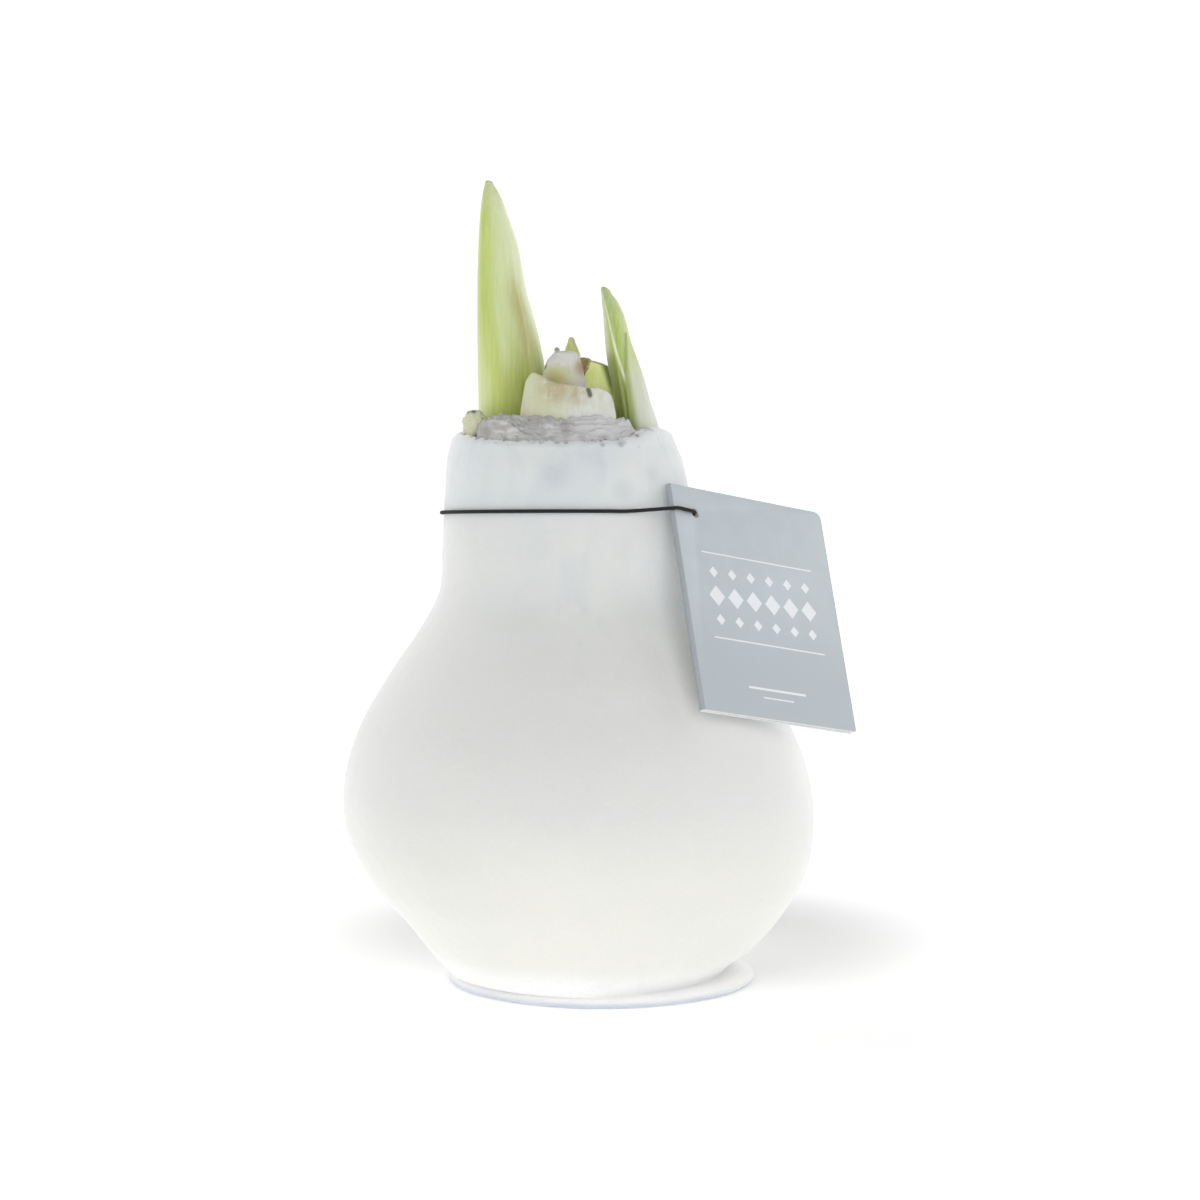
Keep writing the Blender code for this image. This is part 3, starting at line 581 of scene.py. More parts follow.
SHORT_STAINS_AND_SHADE = (
    (0.15, 0.09, (0.118, 0.122), (0.127, 0.136), 0.6, paint(128, 136, 66)),
    # Painted shade: the foot of the short shoot, at its left and front, goes dark where it stands in the gap
    # beside the front scale.
    (0.09, 0.15, (0.110, 0.111), (0.1224, 0.1244), 0.95, paint(84, 82, 58)))


def ridge_at(angle, where, width):
    """Soft ridge along one direction of a section."""
    away = (angle - where + 180) % 360 - 180
    return np.exp(-(away / width) ** 2)


def tall_section(angle, part):
    """Keel at the front left, an overlapping margin at the front right, and fine ribs."""
    keel = 0.05 * ridge_at(angle, -118 - 8 * part, 16) + 0.05 * ridge_at(angle, 75, 20)
    margin = -62 + 26 * part
    lap = 0.05 * smooth(angle, margin - 2.5, margin + 2.5) * (1 - smooth(angle, margin + 30, margin + 120))
    ribs = 0.003 * np.cos(np.radians(angle * 26 + 40 * np.sin(part * 9))) * (1 - part)
    return 1 + (keel + lap + ribs) * smooth(1 - part, 0.0, 0.08)


def short_section(angle, part):
    """Sharp fold at the left, and a seam that runs down the front from the point."""
    fold = 0.05 * ridge_at(angle, -176, 14)
    seam = -124 + 22 * part
    groove = -0.045 * ridge_at(angle, seam + 6, 5) + 0.035 * ridge_at(angle, seam - 5, 6)
    ribs = 0.003 * np.cos(np.radians(angle * 22)) * (1 - part)
    return 1 + (fold + groove + ribs) * smooth(1 - part, 0.0, 0.1)


tall_rings = stalk(TALL_SHOOT, (-23.6, 171.4), -1.0, 216, 190, tall_section)
tall_shoot = skin("tall_shoot", roughen(tall_rings, 0.12, 7.0, 81, (1, 1, 0.4)))
short_rings = stalk(SHORT_SHOOT, (0.7, 149.1), SHORT_Y, 168, 150, short_section)
short_shoot = skin("short_shoot", roughen(short_rings, 0.08, 5.0, 82, (1, 1, 0.4)))

sheath_part = np.linspace(0, 1, 110)[:, None]
sheath_z = SHEATH_FOOT + (SHEATH_POINT - SHEATH_FOOT) * sheath_part
sheath_left, sheath_right, sheath_deep = (blend(SHORT_SHOOT, sheath_z, column) for column in (1, 2, 3))
sheath_start = SHEATH_FROM[0] + (SHEATH_FROM[1] - SHEATH_FROM[0]) * sheath_part ** 2.2
sheath_end = SHEATH_TO[0] + (SHEATH_TO[1] - SHEATH_TO[0]) * sheath_part ** 1.6
sheath_across = np.linspace(0, 1, 44)[None, :]
sheath_rings = []
for lift, order in ((1.0, sheath_across), (0.0, sheath_across[:, ::-1])):
    edge = smooth(np.minimum(order, 1 - order), 0, 0.2)
    flare = 0.5 * smooth(1 - sheath_part, 0.6, 1.0)
    outward = 0.12 + lift * (0.95 * (1 - 0.45 * sheath_part) * (0.08 + 0.92 * edge) + flare * edge)
    around = np.radians(sheath_start + (sheath_end - sheath_start) * order)
    sheath_rings.append(np.stack(np.broadcast_arrays(
        (sheath_left + sheath_right) / 2 + ((sheath_right - sheath_left) / 2 + outward) * np.cos(around),
        SHORT_Y + (sheath_deep / 2 + outward) * np.sin(around), sheath_z), axis=-1))
sheath_rings = np.concatenate(sheath_rings, axis=1)
sheath_rings += 0.10 * lumps(sheath_rings * (1, 1, 0.25), 1.6, 83)[..., None] * (1, 1, 0)
pale_sheath = skin("pale_sheath", sheath_rings)


def shoot_finish(name, upper, lower, change, tip, stains_and_painted_light, spread, margin=None):
    """Leaf skin whose colours run round the shoot, one set of them above and another near its foot.

    change is the height where the sets meet. tip is a colour and its height. A stain, or a patch of
    painted shade or painted highlight, is a place round the shoot, half its width, its foot, its head,
    its strength and its colour. spread is how far the colours wander. margin is a pale edge that runs
    aslant, with a darker flank at its left."""
    green = Finish(name, soft=0.22, depth=(1.4, 1.8, 0.6), Coat_Weight=0.08, Coat_Roughness=0.35)
    height = green.axis("Z")
    along = green.add("ShaderNodeMapping", {"Vector": green.place["UV"], "Scale": (7, 0.35, 1)}).outputs[0]
    rib = green.add("ShaderNodeTexWave", {
        "Vector": along, "Scale": 1.0, "Distortion": 2.2, "Detail": 2.0, "Detail Scale": 1.5}).outputs["Fac"]
    wander = green.sum("MULTIPLY_ADD", green.noise(5.0, 3, stretch=(1, 1, 0.22)), spread, -spread / 2)
    round_place = green.sum("ADD", green.axis("X", "UV"), wander)
    green.ground(green.step(height, change[1], change[0]), green.ramp(round_place, *upper),
                 green.ramp(round_place, *lower))
    # Stains, and patches of painted shade and painted highlight.
    for place, half, foot, head, share, tint in stains_and_painted_light:
        away = green.sum("ABSOLUTE", green.sum("SUBTRACT", round_place, place))
        patch_mask = green.times(green.step(away, half, 0.0), green.step(height, foot[0], foot[1]))
        patch_mask = green.times(patch_mask, green.step(height, head[1], head[0]))
        green.tint(green.times(patch_mask, share), tint)
    if margin:
        start, drift, flank_tint, line_tint = margin
        edge = green.sum("MULTIPLY_ADD", height, -drift, start + drift * 0.1436)
        past = green.sum("SUBTRACT", round_place, edge)
        flank = green.times(green.step(past, -0.015, -0.045), green.step(height, 0.1370, 0.1325))
        green.tint(green.times(flank, 0.8), flank_tint)
        line = green.times(green.step(green.sum("ABSOLUTE", past), 0.024, 0.006),
                         green.step(height, 0.1265, 0.1310))
        green.tint(green.times(line, 0.8), line_tint)
    tip_colour, tip_low, tip_high = tip
    green.tint(green.step(height, tip_low, tip_high, 0.0, 0.6), tip_colour)
    fine = green.noise(0.5, 3, stretch=(1, 1, 0.05))
    green.tint(green.step(fine, 0.45, 0.75, 0.0, 0.22), paint(228, 234, 192))
    green.tint(green.step(fine, 0.45, 0.25, 0.0, 0.20), paint(160, 172, 88))
    green.wear(green.step(fine, 0.3, 0.7, 0.36, 0.52), green.bump(fine, 0.06, green.bump(rib, 0.04)))
    return green.material


tall_green = shoot_finish(
    "tall_green", TALL_UPPER, TALL_LOWER, (0.124, 0.148), (paint(202, 205, 164), 0.163, 0.172),
    TALL_STAINS_SHADE_AND_HIGHLIGHT, spread=0.09)
short_green = shoot_finish(
    "short_green", SHORT_UPPER, SHORT_LOWER, (0.124, 0.134), (paint(184, 192, 158), 0.142, 0.149),
    SHORT_STAINS_AND_SHADE, spread=0.03, margin=(0.143, 7.4, paint(138, 152, 74), paint(236, 241, 214)))
tall_shoot.data.materials.append(tall_green)
short_shoot.data.materials.append(short_green)

pale = Finish("pale_sheath", soft=0.15, depth=(1.5, 1.4, 1.0))
pale_streak = pale.noise(0.9, 3, stretch=(1, 1, 0.12))
pale.ground(pale.step(pale.axis("Z"), 0.138, 0.127), paint(204, 215, 160), paint(210, 214, 196))
pale.tint(pale.step(pale_streak, 0.5, 0.72, 0.0, 0.7), paint(192, 200, 158))
pale.tint(pale.step(pale.axis("X"), 0.0080, 0.0115), paint(222, 225, 214))
pale.tint(pale.step(pale.axis("X", "UV"), 0.12, 0.0), paint(172, 188, 106))
crease = pale.times(pale.step(pale.axis("Z"), 0.1196, 0.1184), pale.step(pale.noise(1.2, 3), 0.35, 0.6))
pale.tint(pale.times(crease, 0.8), paint(150, 146, 120))
pale.wear(pale.step(pale_streak, 0.3, 0.7, 0.55, 0.7), pale.bump(pale_streak, 0.15))
pale_sheath.data.materials.append(pale.material)
for piece, node, slot in (
        (tall_shoot, "tall_flower_shoot", "shoot_green"), (short_shoot, "short_flower_shoot", "shoot_green"),
        (pale_sheath, "short_shoot_sheath", "pale_sheath")):
    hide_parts(node)
    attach(piece, "root")

# Wax coat
# The bulb was dipped in white wax and dusted to a matt, velvety skin about 2 mm thick.
# It pooled to a flat foot under the bulb, and ends in an uneven lip round the cut neck.
COAT_SIDES = 300
FOOT_RADIUS = 32.8
FOOT_MIDDLE = 0.2
FOOT_EDGE = [
    (-2.2, 0.0, 1), (-1.3, 0.0, 1), (-0.8, 0.2, 1), (-0.25, 0.55, 1), (0.0, 1.0, 1), (-0.1, 1.5, 1),
    (-0.45, 1.9, 1), (-1.0, 2.15, 0.9)]
FOOT_CREASE = [(31.2, 2.25, FOOT_MIDDLE, 0.7), (29.7, 2.6, -2.9, 2.3), (30.1, 3.2, -3.0, 2.2)]
LIP_FOOT = 116.2
LIP_TOP = 117.7
LIP_RADIUS = 22.0
MOUTH_RADIUS = 21.4
DENTS = [((-9.5, -26.0, 111.0), 5.0), ((4.5, -22.5, 107.5), 4.0), ((11.0, -17.5, 110.5), 3.5)]
GREY_SPOTS = [((4.3, -20.0, 116.9), 1.1), ((0.6, -22.0, 117.0), 0.8), ((12.8, -12.5, 117.6), 0.9)]

round_coat = np.linspace(0, 360, COAT_SIDES, endpoint=False)[None, :]
ring_line = polar(round_coat, LIP_RADIUS, 0.0)
uneven = 0.45 * lumps(ring_line, 5.0, 91) + 0.25 * lumps(ring_line, 1.6, 92)
by_sheath = ridge_at(round_coat, -9, 17)
mound = ridge_at(round_coat, -32, 15)
lip_top = LIP_TOP + uneven + 0.6 * by_sheath + 1.9 * mound + 0.3 * ridge_at(round_coat, -152, 14)
foot_line = polar(round_coat, 32.0, 0.0)
pool = 0.5 * lumps(foot_line, 14.0, 93) + 0.12 * lumps(foot_line, 3.0, 94)
filled = ridge_at(round_coat, -95, 50)

wax_rows = []


def next_row(radius, height, middle=NECK_X):
    """Adds a ring to the wax, which runs from under its foot up to the lip and down inside."""
    wax_rows.append(np.broadcast_to(polar(round_coat, radius, height, middle), (1, COAT_SIDES, 3))[0])


for out, height, share in FOOT_EDGE:
    next_row(FOOT_RADIUS + out + pool * share, height, FOOT_MIDDLE)
for radius, height, middle, fill in FOOT_CREASE:
    next_row(radius + fill * filled + 0.4 * pool, height, middle)
for height in np.linspace(3.6, 116, 146):
    run = 2.0 * filled * (1 - smooth(height, 3.4, 9.0))
    next_row(coat_radius(height) + run, height, coat_middle(height))
for turn in np.radians(np.linspace(10, 90, 8)):
    next_row(LIP_RADIUS + 1.75 * np.cos(turn), LIP_FOOT + (lip_top - LIP_FOOT) * np.sin(turn) ** 1.3)
next_row(MOUTH_RADIUS + 0.2 - 0.5 * by_sheath - 1.1 * mound, lip_top - 0.1)
outer_rows = len(wax_rows)
next_row(MOUTH_RADIUS - 0.1 - 0.8 * by_sheath - 2.4 * mound, lip_top - 0.4)
next_row(MOUTH_RADIUS, 115.4)
next_row(22.2, 114.0, -7.7)
for height in reversed(BULB_HEIGHTS[1:]):
    next_row(coat_radius(height) - WAX_THICK * slant(height), height, coat_middle(height))
next_row(BULB_BASE + UNDER_WAX, WAX_FLOOR, -2.8)
wax_rings = np.stack(wax_rows)

outside = wax_rings[:outer_rows]
height = outside[..., 2]
free = smooth(height, 3.0, 12.0) * (1 - smooth(height, 114, 117))
held = np.exp(-((height - 101.2) / 6.0) ** 2)
relief = 0.38 * lumps(outside, 24.0, 95, 2) + 0.12 * lumps(outside * (1, 1, 0.45), 6.0, 96, 2)
facet = -0.35 * ridge_at(round_coat, -44, 7) * smooth(height, 102, 106) * (1 - smooth(height, 112, 116))
away = outside - np.stack([coat_middle(np.clip(height, 4, 116)), 0 * height, height], axis=-1)
away /= np.linalg.norm(away, axis=-1, keepdims=True)
wax_rings[:outer_rows] += away * ((relief * (1 - 0.8 * held) + facet) * free)[..., None]
wax_skin = skin("wax_skin", wax_rings)

wax = Finish(
    "white_wax", soft=0.6, depth=(2.6, 2.5, 2.2), Sheen_Weight=0.8, Sheen_Roughness=0.45,
    Specular_IOR_Level=0.2)
wax_z = wax.axis("Z")
wax_cloud = wax.noise(22.0, 3)
# Painted light and shade: the wax's warm white is painted near white at the foot, where the glowing table
# lights it, and greyer up the belly, neck and collar, where less light falls from above.
wax.ground(wax.step(wax_z, 0.003, 0.010), paint(254, 254, 254), paint(237, 237, 229))
wax.tint(wax.step(wax_z, 0.022, 0.046), paint(233, 233, 231))
# Painted contact shadow: a blue-grey line round the lowest 2 mm of the foot.
wax.tint(wax.step(wax_z, 0.0020, 0.0006, 0.0, 0.8), paint(176, 186, 206))
wax.tint(wax.step(wax_z, 0.066, 0.090), paint(221, 224, 223))
wax.tint(wax.step(wax_z, 0.100, 0.105), paint(217, 223, 225))
wax.tint(wax.step(wax_cloud, 0.35, 0.70, 0.0, 0.5), paint(232, 232, 228))
smear = wax.step(wax.noise(7.0, 3, stretch=(1, 1, 0.5), rough=0.5, warp=0.4), 0.48, 0.78)
smear_place = wax.sum("MAXIMUM", wax.step(wax_z, 0.100, 0.112), wax.near((-2, -30, 88), 26, 4))
smear = wax.times(wax.times(smear, smear_place), 0.45)
wax.tint(smear, paint(198, 206, 213))
# Painted light: the neck is painted paler beside the tag, to lighten the tag's shadow on it.
painted_light_by_tag = wax.times(wax.near((14, -21, 91), 13, 3), 0.6)
wax.tint(painted_light_by_tag, paint(240, 242, 242))
for spot, reach in DENTS:
    wax.tint(wax.times(wax.near(spot, reach, 0.0), 0.28), paint(172, 180, 190))
wax_fine = wax.noise(0.5, 3)
wax.tint(wax.step(wax_fine, 0.4, 0.75, 0.0, 0.25), paint(226, 227, 224))
speck = wax.times(wax.step(wax.noise(2.2, 3), 0.58, 0.72), wax.step(wax_z, 0.1150, 0.1172))
wax.tint(wax.times(speck, 0.6), paint(176, 178, 184))
for spot, reach in GREY_SPOTS:
    wax.tint(wax.times(wax.near(spot, reach, 0.2), 0.7), paint(160, 164, 170))
wax.wear(wax.step(wax_fine, 0.3, 0.7, 0.72, 0.85),
         wax.bump(wax_fine, 0.05, wax.bump(wax.noise(3.0, 3), 0.25)))
wax_skin.data.materials.append(wax.material)
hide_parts("wax_coat")
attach(wax_skin, "root")

# Flakes on the lip
# Crumbs of the dry tunic that broke off while the wax was soft, and stuck to its lip.
# They are thin and flat, lie any way round, and gather in front where the tunic is torn.
FLAKES_FROM = -152
FLAKES_TO = -26
FLAKES_PER_SQUARE_METRE = 560000.0
FLAKE_RADIUS = 0.62
FLAKE_THICK = 0.14


class Grower(NodeWork):
    """A Geometry Nodes tree with named inputs."""

    def __init__(self, name, **sizes):
        self.tree = bpy.data.node_groups.new(name, "GeometryNodeTree")
        self.tree.interface.new_socket("Geometry", in_out="INPUT", socket_type="NodeSocketGeometry")
        for label, value in sizes.items():
            kind = "NodeSocketInt" if isinstance(value, int) else "NodeSocketFloat"
            self.tree.interface.new_socket(label, in_out="INPUT", socket_type=kind).default_value = value
        self.tree.interface.new_socket("Geometry", in_out="OUTPUT", socket_type="NodeSocketGeometry")
        self.given = self.tree.nodes.new("NodeGroupInput").outputs
        self.sizes = sizes

    def scaled(self, vector, length):
        return self.add("ShaderNodeVectorMath", {0: vector, "Scale": length}, operation="SCALE").outputs[0]

    def grow(self, guide, name, shape, material):
        """Ends the tree, runs it on the guide and keeps the result as a plain mesh."""
        whole = self.add("GeometryNodeRealizeInstances", {0: shape}).outputs[0]
        whole = self.add("GeometryNodeSetMaterial", {"Geometry": whole, "Material": material}).outputs[0]
        self.add("NodeGroupOutput", {0: whole})
        modifier = guide.modifiers.new(name, "NODES")
        modifier.node_group = self.tree
        for item in self.tree.interface.items_tree:
            if item.in_out == "INPUT" and item.name in self.sizes:
                modifier[item.identifier] = self.sizes[item.name]
        bpy.context.view_layer.update()
        mesh = bpy.data.meshes.new_from_object(guide.evaluated_get(bpy.context.evaluated_depsgraph_get()))
        guide.modifiers.remove(modifier)
        mesh.name = name
        mesh.shade_smooth()
        return put(name, mesh)


columns = slice(*(round((360 + angle) * COAT_SIDES / 360) for angle in (FLAKES_FROM, FLAKES_TO)))
lip = wax_rings[outer_rows - 4:outer_rows + 1, columns]
lip_rows, lip_sides = lip.shape[:2]
lip_faces = []
for row in range(lip_rows - 1):
    for side in range(lip_sides - 1):
        corner = row * lip_sides + side
        lip_faces.append((corner, corner + 1, corner + 1 + lip_sides, corner + lip_sides))
lip_mesh = bpy.data.meshes.new("lip_guide")
lip_mesh.from_pydata(lip.reshape(-1, 3) * MM, [], lip_faces)
lip_guide = put("lip_guide", lip_mesh)

crumb = Finish("tunic_crumbs", Roughness=0.9)
crumb_grain = crumb.noise(0.8, 3)
crumb.ground(crumb.step(crumb_grain, 0.38, 0.62), paint(166, 165, 166), paint(214, 214, 215))
crumb.wear(normal=crumb.bump(crumb_grain, 0.1))

strew = Grower(
    "strewn_flakes", Crowd=FLAKES_PER_SQUARE_METRE, Radius=FLAKE_RADIUS * MM, Thick=FLAKE_THICK * MM, Seed=5)
spots = strew.add("GeometryNodeDistributePointsOnFaces", {
    "Mesh": strew.given["Geometry"], "Density": strew.given["Crowd"], "Seed": strew.given["Seed"]})
chip = strew.add("GeometryNodeMeshCylinder", {
    "Vertices": 7, "Radius": strew.given["Radius"], "Depth": strew.given["Thick"]}).outputs[0]
laid = strew.add("GeometryNodeInstanceOnPoints", {
    "Points": spots.outputs["Points"], "Instance": chip, "Rotation": spots.outputs["Rotation"]}).outputs[0]
tilt = strew.add(
    "FunctionNodeRandomValue", {0: (-0.3, -0.3, 0.0), 1: (0.3, 0.3, 2 * pi)}, data_type="FLOAT_VECTOR")
turned_chips = strew.add("GeometryNodeRotateInstances", {0: laid, "Rotation": tilt.outputs[0]}).outputs[0]
size = strew.add(
    "FunctionNodeRandomValue", {0: (0.35, 0.25, 0.6), 1: (1.5, 0.9, 1.2)}, data_type="FLOAT_VECTOR")
sized = strew.add("GeometryNodeScaleInstances", {0: turned_chips, "Scale": size.outputs[0]}).outputs[0]
flakes = strew.grow(lip_guide, "lip_flakes", sized, crumb.material)
bpy.data.objects.remove(lip_guide)
flakes.data.set_sharp_from_angle(angle=radians(40))
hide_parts("dry_tunic_front")
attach(flakes, "root")

# Elastic
# A thin round elastic with a braided black cover, closed to a loop and pulled over the neck.
# It goes over the fold of the tag, in at the front of its hole and out behind, and lies on the wax.
ELASTIC = 0.85
ELASTIC_LEVEL = 100.95
ELASTIC_SLOPE = 0.0965
ELASTIC_ROLL = 0.001
LEAVES_NECK = -62
JOINS_NECK = -9
LIES_OFF = 0.08
HOLE_ACROSS = 6.07
HOLE_DOWN = 5.77
TAG_PLACE = Vector((14.78, -16.58, 108.49))
TAG_TURN = Euler([radians(turn) for turn in (-23.4, 12.3, 46.9)], "YXZ").to_matrix()
BRAID_TURNS = 52


def on_tag(across, back, down):
    """Place of a point given on the tag: across from the fold, behind the front, down from the top."""
    return TAG_PLACE + TAG_TURN @ Vector((across, back, -down))


def on_neck(angle):
    """Middle of the elastic where it lies on the wax."""
    radius = 27.0
    for _ in range(4):
        level = (ELASTIC_LEVEL - ELASTIC_SLOPE * radius * sin(radians(angle))
                 + ELASTIC_ROLL * radius * cos(radians(angle)))
        radius = float(coat_radius(level)) + LIES_OFF + ELASTIC / 2
    return Vector(polar(angle, radius, level, float(coat_middle(level))))


neck_turn = 360 + LEAVES_NECK - JOINS_NECK
route = [on_neck(JOINS_NECK + neck_turn * step / 34) for step in range(35)]
route += [
    on_tag(-1.0, -0.40, HOLE_DOWN + 0.1), on_tag(0.6, -0.55, HOLE_DOWN - 0.15),
    on_tag(HOLE_ACROSS - 3.2, -0.55, HOLE_DOWN - 0.1), on_tag(HOLE_ACROSS - 1.5, -0.58, HOLE_DOWN),
    on_tag(HOLE_ACROSS - 0.6, -0.40, HOLE_DOWN), on_tag(HOLE_ACROSS - 0.1, 0.2, HOLE_DOWN),
    on_tag(HOLE_ACROSS + 0.1, 1.4, HOLE_DOWN), on_tag(HOLE_ACROSS + 0.7, 2.4, HOLE_DOWN),
    on_tag(HOLE_ACROSS + 2.0, 3.3, HOLE_DOWN - 0.1)]

elastic_path = bpy.data.curves.new("elastic_path", "CURVE")
elastic_path.dimensions = "3D"
line = elastic_path.splines.new("BEZIER")
line.bezier_points.add(len(route) - 1)
befores, afters = route[-1:] + route[:-1], route[1:] + route[:1]
for point, spot, before, after in zip(line.bezier_points, route, befores, afters):
    lean = (after - before) / 6
    reach_back, reach_on = (spot - before).length / 3, (after - spot).length / 3
    point.co = spot * MM
    point.handle_left = (spot - lean.normalized() * reach_back) * MM
    point.handle_right = (spot + lean.normalized() * reach_on) * MM
line.use_cyclic_u = True
line.resolution_u = 12
elastic_guide = put("elastic_guide", elastic_path)

black = Finish("black_elastic", Roughness=0.75, Sheen_Weight=0.1, Sheen_Roughness=0.4)
thread = black.noise(0.25, 3)
black.ground(black.step(thread, 0.35, 0.7), paint(9, 9, 10), paint(26, 26, 28))
black.wear(black.step(thread, 0.3, 0.7, 0.6, 0.8), black.bump(thread, 0.03))

braid = Grower(
    "braided_cover", Radius=ELASTIC / 2 * MM, Strand=0.115 * MM, Weave=0.035 * MM, Turns=BRAID_TURNS,
    Carriers=10, Steps=1150)
fine_path = braid.add("GeometryNodeResampleCurve", {
    "Curve": braid.given["Geometry"], "Count": braid.given["Steps"]}).outputs[0]
upright_path = braid.add("GeometryNodeSetCurveNormal", {"Curve": fine_path}, mode="Z_UP").outputs[0]
strands = braid.add("GeometryNodeDuplicateElements", {
    "Geometry": upright_path, "Amount": braid.given["Carriers"]}, domain="SPLINE")
number = strands.outputs["Duplicate Index"]
odd = braid.sum("MODULO", number, 2.0)
hand = braid.sum("MULTIPLY_ADD", odd, -2.0, 1.0)
along = braid.add("GeometryNodeSplineParameter").outputs["Factor"]
turned = braid.times(braid.times(along, braid.given["Turns"]), 2 * pi)
share = braid.sum("DIVIDE", braid.sum("FLOOR", braid.sum("DIVIDE", number, 2.0)), 5.0)
angle = braid.sum("ADD", braid.times(turned, hand), braid.times(share, 2 * pi))
weave = braid.times(braid.sum("COSINE", braid.times(turned, 5.0)), hand)
strand_middle = braid.sum("SUBTRACT", braid.given["Radius"], braid.given["Strand"])
reach = braid.sum("MULTIPLY_ADD", weave, braid.given["Weave"], braid.sum(
    "SUBTRACT", strand_middle, braid.given["Weave"]))
normal = braid.add("GeometryNodeInputNormal").outputs[0]
tangent = braid.add("GeometryNodeInputTangent").outputs[0]
across = braid.add("ShaderNodeVectorMath", {0: tangent, 1: normal}, operation="CROSS_PRODUCT").outputs[0]
offset = braid.add("ShaderNodeVectorMath", {
    0: braid.scaled(normal, braid.times(braid.sum("COSINE", angle), reach)),
    1: braid.scaled(across, braid.times(braid.sum("SINE", angle), reach))}, operation="ADD").outputs[0]
wound = braid.add("GeometryNodeSetPosition", {"Geometry": strands.outputs[0], "Offset": offset}).outputs[0]
strand_ring = braid.add("GeometryNodeCurvePrimitiveCircle", {
    "Resolution": 4, "Radius": braid.given["Strand"]}).outputs[0]
cover = braid.add("GeometryNodeCurveToMesh", {"Curve": wound, "Profile Curve": strand_ring}).outputs[0]
core_radius = braid.sum("SUBTRACT", strand_middle, braid.given["Weave"])
core_ring = braid.add("GeometryNodeCurvePrimitiveCircle", {"Resolution": 10, "Radius": core_radius})
core = braid.add("GeometryNodeCurveToMesh", {
    "Curve": upright_path, "Profile Curve": core_ring.outputs[0]}).outputs[0]
both = braid.add("GeometryNodeJoinGeometry")
braid.tree.links.new(cover, both.inputs[0])
braid.tree.links.new(core, both.inputs[0])
elastic = braid.grow(elastic_guide, "elastic", both.outputs[0], black.material)
bpy.data.objects.remove(elastic_guide)
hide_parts("elastic_loop")
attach(elastic, "root")

# Folded tag
# A piece of blue-grey printed card, folded once at its left edge and punched through both leaves.
# The paper is white inside and at its cut edges, and the free corner at the top is rounded.
TAG_WIDTH = 45.0
TAG_HEIGHT = 50.0
CARD = 0.55
FOLD_INSIDE = 0.3
TAG_CORNER = 1.7
TAG_SPLAY = 0.5
HOLE_RADIUS = 1.05
PRINT_LEFT = 6
PRINT_RIGHT = 39
LOZENGE_PITCH = 5.5


def card_solid():
    """The folded card before it is hung: a U section pulled down, with its free corners rounded."""
    outer, inner = FOLD_INSIDE / 2 + CARD, FOLD_INSIDE / 2
    spread = TAG_WIDTH * sin(radians(TAG_SPLAY))
    bend = [radians(90 + 180 * step / 20) for step in range(21)]
    outline = [(TAG_WIDTH, 2 * outer + spread), (TAG_WIDTH, outer + inner + spread)]
    outline += [(inner * cos(turn), outer + inner * sin(turn)) for turn in bend]
    outline += [(TAG_WIDTH, CARD), (TAG_WIDTH, 0)]
    outline += [(outer * cos(turn), outer + outer * sin(turn)) for turn in reversed(bend)]
    card = bmesh.new()
    rows = [[card.verts.new((x * MM, y * MM, -down * MM)) for x, y in outline] for down in (0, TAG_HEIGHT)]
    for side in range(len(outline)):
        card.faces.new((rows[0][side - 1], rows[0][side], rows[1][side], rows[1][side - 1]))
    for row in rows:
        card.faces.new(row)
    bmesh.ops.recalc_face_normals(card, faces=card.faces)
    card.edges.ensure_lookup_table()
    free_edge = (TAG_WIDTH - 0.1) * MM
    short = [edge for edge in card.edges if edge.calc_length() < 1.5 * CARD * MM
             and all(vert.co.x > free_edge for vert in edge.verts)]
    for low, high, reach in ((-0.1, 1, TAG_CORNER), (-TAG_HEIGHT - 1, 1 - TAG_HEIGHT, 0.4)):
        chosen = [edge for edge in short if edge.is_valid
                  and all(low * MM < vert.co.z < high * MM for vert in edge.verts)]
        bmesh.ops.bevel(card, geom=chosen, offset=reach * MM, segments=12, affect="EDGES", profile=0.5)
    mesh = bpy.data.meshes.new("folded_tag")
    card.to_mesh(mesh)
    card.free()
    return mesh


tag = put("folded_tag", card_solid())
bpy.ops.mesh.primitive_cylinder_add(vertices=64, radius=HOLE_RADIUS * MM, depth=12 * MM)
punch = bpy.context.object
punch.rotation_euler = (pi / 2, 0, 0)
punch.location = (HOLE_ACROSS * MM, 0, -HOLE_DOWN * MM)
hole = tag.modifiers.new("hole", "BOOLEAN")
hole.object = punch
hole.solver = "EXACT"
soft_edge = tag.modifiers.new("soft edge", "BEVEL")
soft_edge.width = 0.07 * MM
soft_edge.segments = 2
soft_edge.limit_method = "ANGLE"
soft_edge.angle_limit = radians(50)
bpy.context.view_layer.update()
tag.data = bpy.data.meshes.new_from_object(tag.evaluated_get(bpy.context.evaluated_depsgraph_get()))
tag.data.name = "folded_tag"
tag.modifiers.clear()
bpy.data.objects.remove(punch)

ink = Finish("grey_card")
card_across = ink.times(ink.axis("X", "UV"), TAG_WIDTH)
card_down = ink.times(ink.sum("SUBTRACT", 1.0, ink.axis("Y", "UV")), TAG_HEIGHT)


def bar(left, right, top, bottom, soft=0.07):
    """White rule or block, given by its edges across and down the card."""
    sides = [
        ink.step(card_across, left - soft, left + soft), ink.step(card_across, right + soft, right - soft),
        ink.step(card_down, top - soft, top + soft), ink.step(card_down, bottom + soft, bottom - soft)]
    while len(sides) > 1:
        sides.append(ink.times(sides.pop(0), sides.pop(0)))
    return sides[0]


